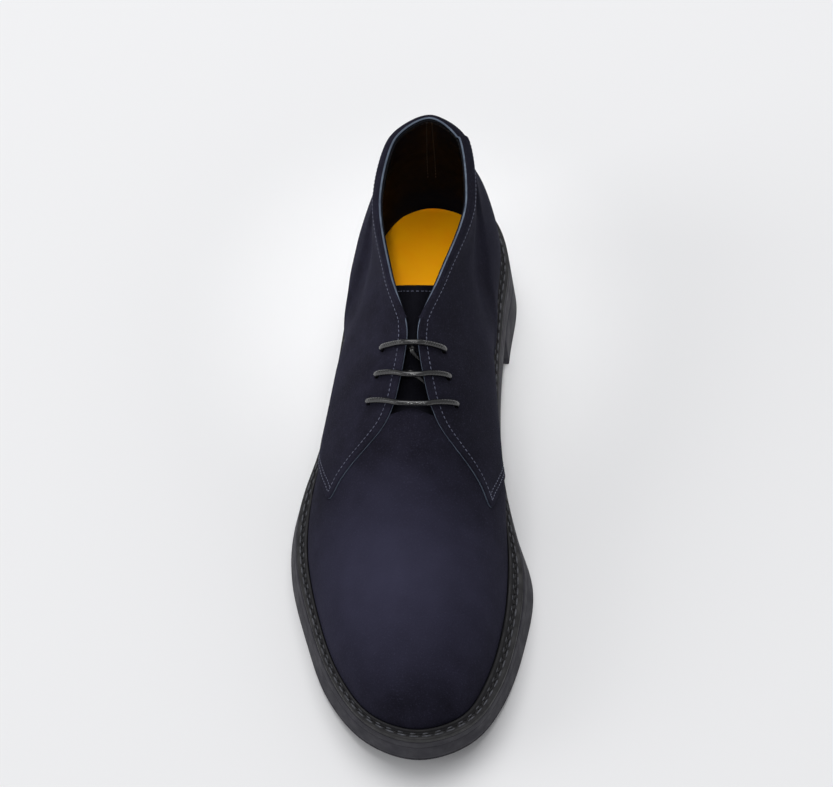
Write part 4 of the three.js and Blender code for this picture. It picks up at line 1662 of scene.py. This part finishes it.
@dataclass(frozen=True)
class Seams:
    """Where the rows of stitches run on the upper, and the pitch, length and thickness of the stitches."""

    upper: Upper = Upper()
    inset: float = 3.6
    second: float = 2.2
    fine: tuple[float, float, float] = (2.3, 1.55, 0.42)
    welt_outer: tuple[float, float, float] = (5.5, 4.2, 0.75)
    welt_inner: tuple[float, float, float] = (5.5, 2.6, 0.6)
    welt_groove: tuple[float, float, float] = (2.75, 3.0, 0.8)

    def edge(self, count: int = 420) -> tuple[np.ndarray, np.ndarray]:
        """The quarters' edge from the outer flap's corner along the collar to the inner flap's corner.

        Args:
            count: how many points each flap's edge has.

        Returns:
            The edge's laps and climbs.
        """
        climb = np.linspace(FLAP_CORNER, 1, count)
        lap = QUARTER_FRONT(climb)
        collar = round_collar(COLLAR_START, 2 * count)[1:-1]
        laps = np.concatenate([-lap, -collar, lap[::-1]])
        climbs = np.concatenate([climb, np.ones(len(collar)), climb[::-1]])
        return laps, climbs

    def inside(self, laps: np.ndarray, climbs: np.ndarray, inset: float, lift: float = 0.0) -> np.ndarray:
        """Moves a line on the surface to its left by a distance along the surface.

        Args:
            laps: the line's laps.
            climbs: the line's climbs.
            inset: the distance.
            lift: how far above the suede the new line lies.

        Returns:
            The new line's points.
        """
        place = LAST.point(laps, climbs)
        ahead = np.gradient(place, axis=0)
        out = LAST.out_of(laps, climbs)
        left = np.cross(out, ahead)
        left /= np.linalg.norm(left, axis=-1, keepdims=True)
        across, up = LAST.across_and_up(laps, climbs)
        gram = np.stack([np.stack([np.sum(across * across, -1), np.sum(across * up, -1)], -1),
                         np.stack([np.sum(across * up, -1), np.sum(up * up, -1)], -1)], -2)
        wish = np.stack([np.sum(across * left, -1), np.sum(up * left, -1)], -1) * inset
        move = np.linalg.solve(gram, wish[..., None])[..., 0]
        lap, climb = laps + move[:, 0], np.clip(climbs + move[:, 1], 0, 1)
        return LAST.offset(lap, climb, self.upper.suede_top(lap, climb) + lift)

    def build(self, shop: Workshop, tongue: Tongue, welt: Welt) -> None:
        """Sews every row.

        Args:
            shop: the workshop that makes them.
            tongue: the tongue, for the row below its top edge.
            welt: the welt, for the rows round the sole.
        """
        names = ("Pitch", "Length", "Thickness")
        fine = dict(zip(names, self.fine))
        outer_line = welt.line(0.66, welt.rim_height + 0.03)
        inner_line = welt.line(0.375, welt.rim_height + 0.02)
        thread = StitchTree(shop.finishes["thread"])
        thread.sew(shop, "stitches_quarters", self.quarter_rows(), Slot.SUEDE, fine)
        thread.sew(shop, "stitches_tongue", [tongue.stitch_line()], Slot.TONGUE, fine)
        dark = StitchTree(shop.finishes["dark_thread"])
        dark.sew(shop, "stitches_lining", self.lining_rows(), Slot.SUEDE, fine)
        welted = StitchTree(shop.finishes["welt_thread"])
        for tree, name, line, sizes in (
            (welted, "stitches_welt_outer", outer_line, self.welt_outer),
            (welted, "stitches_welt_inner", inner_line, self.welt_inner),
            (dark, "stitches_welt_groove", welt.groove_line(), self.welt_groove),
        ):
            tree.sew(shop, name, [line], Slot.WELT, dict(zip(names, sizes)))

    def quarter_rows(self) -> list[np.ndarray]:
        """The row along the quarters' edge, two below each flap's corner and one down the inner seam."""
        rows = [self.inside(*self.edge(), self.inset)]
        for side in Side:
            low = np.linspace(FLAP_CORNER - 0.045, 0.07, 60)
            lap = side.value * QUARTER_FRONT(low)
            for step in (self.inset * 0.8, self.inset * 0.8 + self.second):
                rows.append(self.inside(lap, low, step * side.value))
        climb = np.linspace(0.97, 0.08, 90)
        rows.append(self.inside(np.full(climb.shape, self.upper.seam_lap - 0.09), climb, 0.0))
        return rows

    def lining_rows(self) -> list[np.ndarray]:
        """The row below the topline inside, and the two that hold the lining's back seam."""
        laps = [round_collar(COLLAR_START + 0.2, 500)]
        laps += [np.full(90, lap) for lap in (HEEL_LAP - 0.09, 0.09 - HEEL_LAP)]
        climbs = [np.full(500, 0.972), *[np.linspace(0.97, 0.25, 90)] * 2]
        return [LAST.offset(lap, climb, -self.upper.lining_face(lap, climb) - 0.05)
                for lap, climb in zip(laps, climbs)]


# ---------------------------------------------------------------------------------------------------------
# Studio
# ---------------------------------------------------------------------------------------------------------


@dataclass(frozen=True)
class Studio:
    """Pale floor, soft light and the camera above the toe."""

    elevation: float = 56.0
    swing: float = 0.4
    distance: float = 1182.0
    target: tuple[float, float, float] = (56.0, 49.3, 0.0)
    focal: float = 104.67
    turn: float = 2.98
    floor_reach: float = 20.0
    surround: float = 0.46
    snoot_place: tuple[float, float, float] = (0.0, -0.52, 1.2)
    snoot_target: tuple[float, float, float] = (0.0, 0.07, 0.05)
    snoot_angle: float = 5.4
    snoot_watts: float = 62.0

    def build(self, shop: Workshop) -> None:
        """Sets the floor, the lights and the camera."""
        self.build_floor()
        self.build_lights()
        self.build_camera(shop.shift)

    def build_floor(self) -> None:
        """A wide matt floor."""
        mesh = bpy.data.meshes.new("floor")
        r = self.floor_reach
        mesh.from_pydata([(-r, -r, 0), (r, -r, 0), (r, r, 0), (-r, r, 0)], [], [(0, 1, 2, 3)])
        mesh.materials.append(PaintedBoard("board_studio_pale", "#f1f1f2").make())
        floor = bpy.data.objects.new("floor", mesh)
        bpy.context.scene.collection.objects.link(floor)

    def build_lights(self) -> None:
        """A large soft light above and behind, a soft one on the outer side, a snoot and an even surround."""
        world = bpy.data.worlds.new("studio_surround")
        world.use_nodes = True
        background = world.node_tree.nodes["Background"]
        background.inputs["Color"].default_value = linear("#f8f9fb")
        background.inputs["Strength"].default_value = self.surround
        bpy.context.scene.world = world
        for name, place, size, watts in (
            ("soft_top", (-0.1, 1.0, 3.2), (2.4, 1.8), 62.0),
            ("soft_outer_side", (-2.6, -0.6, 1.3), (1.6, 1.6), 15.0),
        ):
            light = bpy.data.lights.new(name, "AREA")
            light.shape = "RECTANGLE"
            light.size, light.size_y = size
            light.energy = watts
            self.hang(light, place, (0.0, 0.0, 0.0))
        snoot = bpy.data.lights.new("snoot_collar", "SPOT")
        snoot.energy = self.snoot_watts
        snoot.spot_size = math.radians(self.snoot_angle)
        snoot.spot_blend = 1.0
        snoot.shadow_soft_size = 0.08
        self.hang(snoot, self.snoot_place, self.snoot_target)

    def hang(
        self, light: bpy.types.Light, place: tuple[float, float, float], target: tuple[float, float, float]
    ) -> None:
        """Hangs a light and points it.

        Args:
            light: the light.
            place: where it hangs, in metres.
            target: what it points at.
        """
        lamp = bpy.data.objects.new(light.name, light)
        lamp.location = place
        lamp.rotation_euler = (Vector(target) - Vector(place)).to_track_quat("-Z", "Y").to_euler()
        bpy.context.scene.collection.objects.link(lamp)

    def build_camera(self, shift: np.ndarray) -> None:
        """The camera, turned on its own axis until the boot stands in the middle.

        Args:
            shift: how far the frame's origin lies from the last's, in millimetres.
        """
        tilt, swing = math.radians(self.elevation), math.radians(self.swing)
        level_way = Vector((-math.sin(swing), math.cos(swing), 0.0))
        forward = level_way * math.cos(tilt) - Vector((0, 0, math.sin(tilt)))
        place = (Vector(self.target) - forward * self.distance + Vector(shift)) * MM
        right = forward.cross(Vector((0, 0, 1))).normalized()
        up = right.cross(forward)
        facing = Matrix((right, up, -forward)).transposed().to_4x4()
        camera = bpy.data.objects.new("camera", bpy.data.cameras.new("camera"))
        camera.data.lens = self.focal
        camera.data.sensor_width = 36.0
        turned = facing @ Matrix.Rotation(math.radians(self.turn), 4, "Y")
        camera.matrix_world = Matrix.Translation(place) @ turned
        bpy.context.scene.collection.objects.link(camera)
        bpy.context.scene.camera = camera
        bpy.context.scene.view_settings.view_transform = "Standard"


def frame_shift(insole: Insole) -> np.ndarray:
    """How far the frame's origin lies from the last's, from the place of the insole in both.

    Args:
        insole: the insole, for its outline on the last.

    Returns:
        The distance along x, y and z, in millimetres.
    """
    laps = np.linspace(0, HEEL_LAP, 39)
    outline = np.concatenate([insole.outline(-laps), insole.outline(laps)])
    low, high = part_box("insole")
    centre = [(low[i] + high[i]) / 2 / MM for i in (0, 1)]
    own = [(outline[:, i].min() + outline[:, i].max()) / 2 for i in (0, 1)]
    return np.array([centre[0] - own[0], centre[1] - own[1], 0.0])


def main() -> None:
    """Builds the boot over the frame and sets the studio."""
    logging.basicConfig(level=logging.INFO, format="%(name)s: %(message)s")
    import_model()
    insole, upper, tongue, welt, sole = Insole(), Upper(), Tongue(), Welt(), SoleStack()
    shop = Workshop(frame_shift(insole), {name: finish.make() for name, finish in FINISHES.items()})
    Studio().build(shop)
    for part in (upper, tongue, insole, welt, sole, Lace()):
        part.build(shop)
    Seams(upper).build(shop, tongue, welt)
    LOG.info("%d pieces", len(shop.made))


if __name__ == "__main__":
    main()
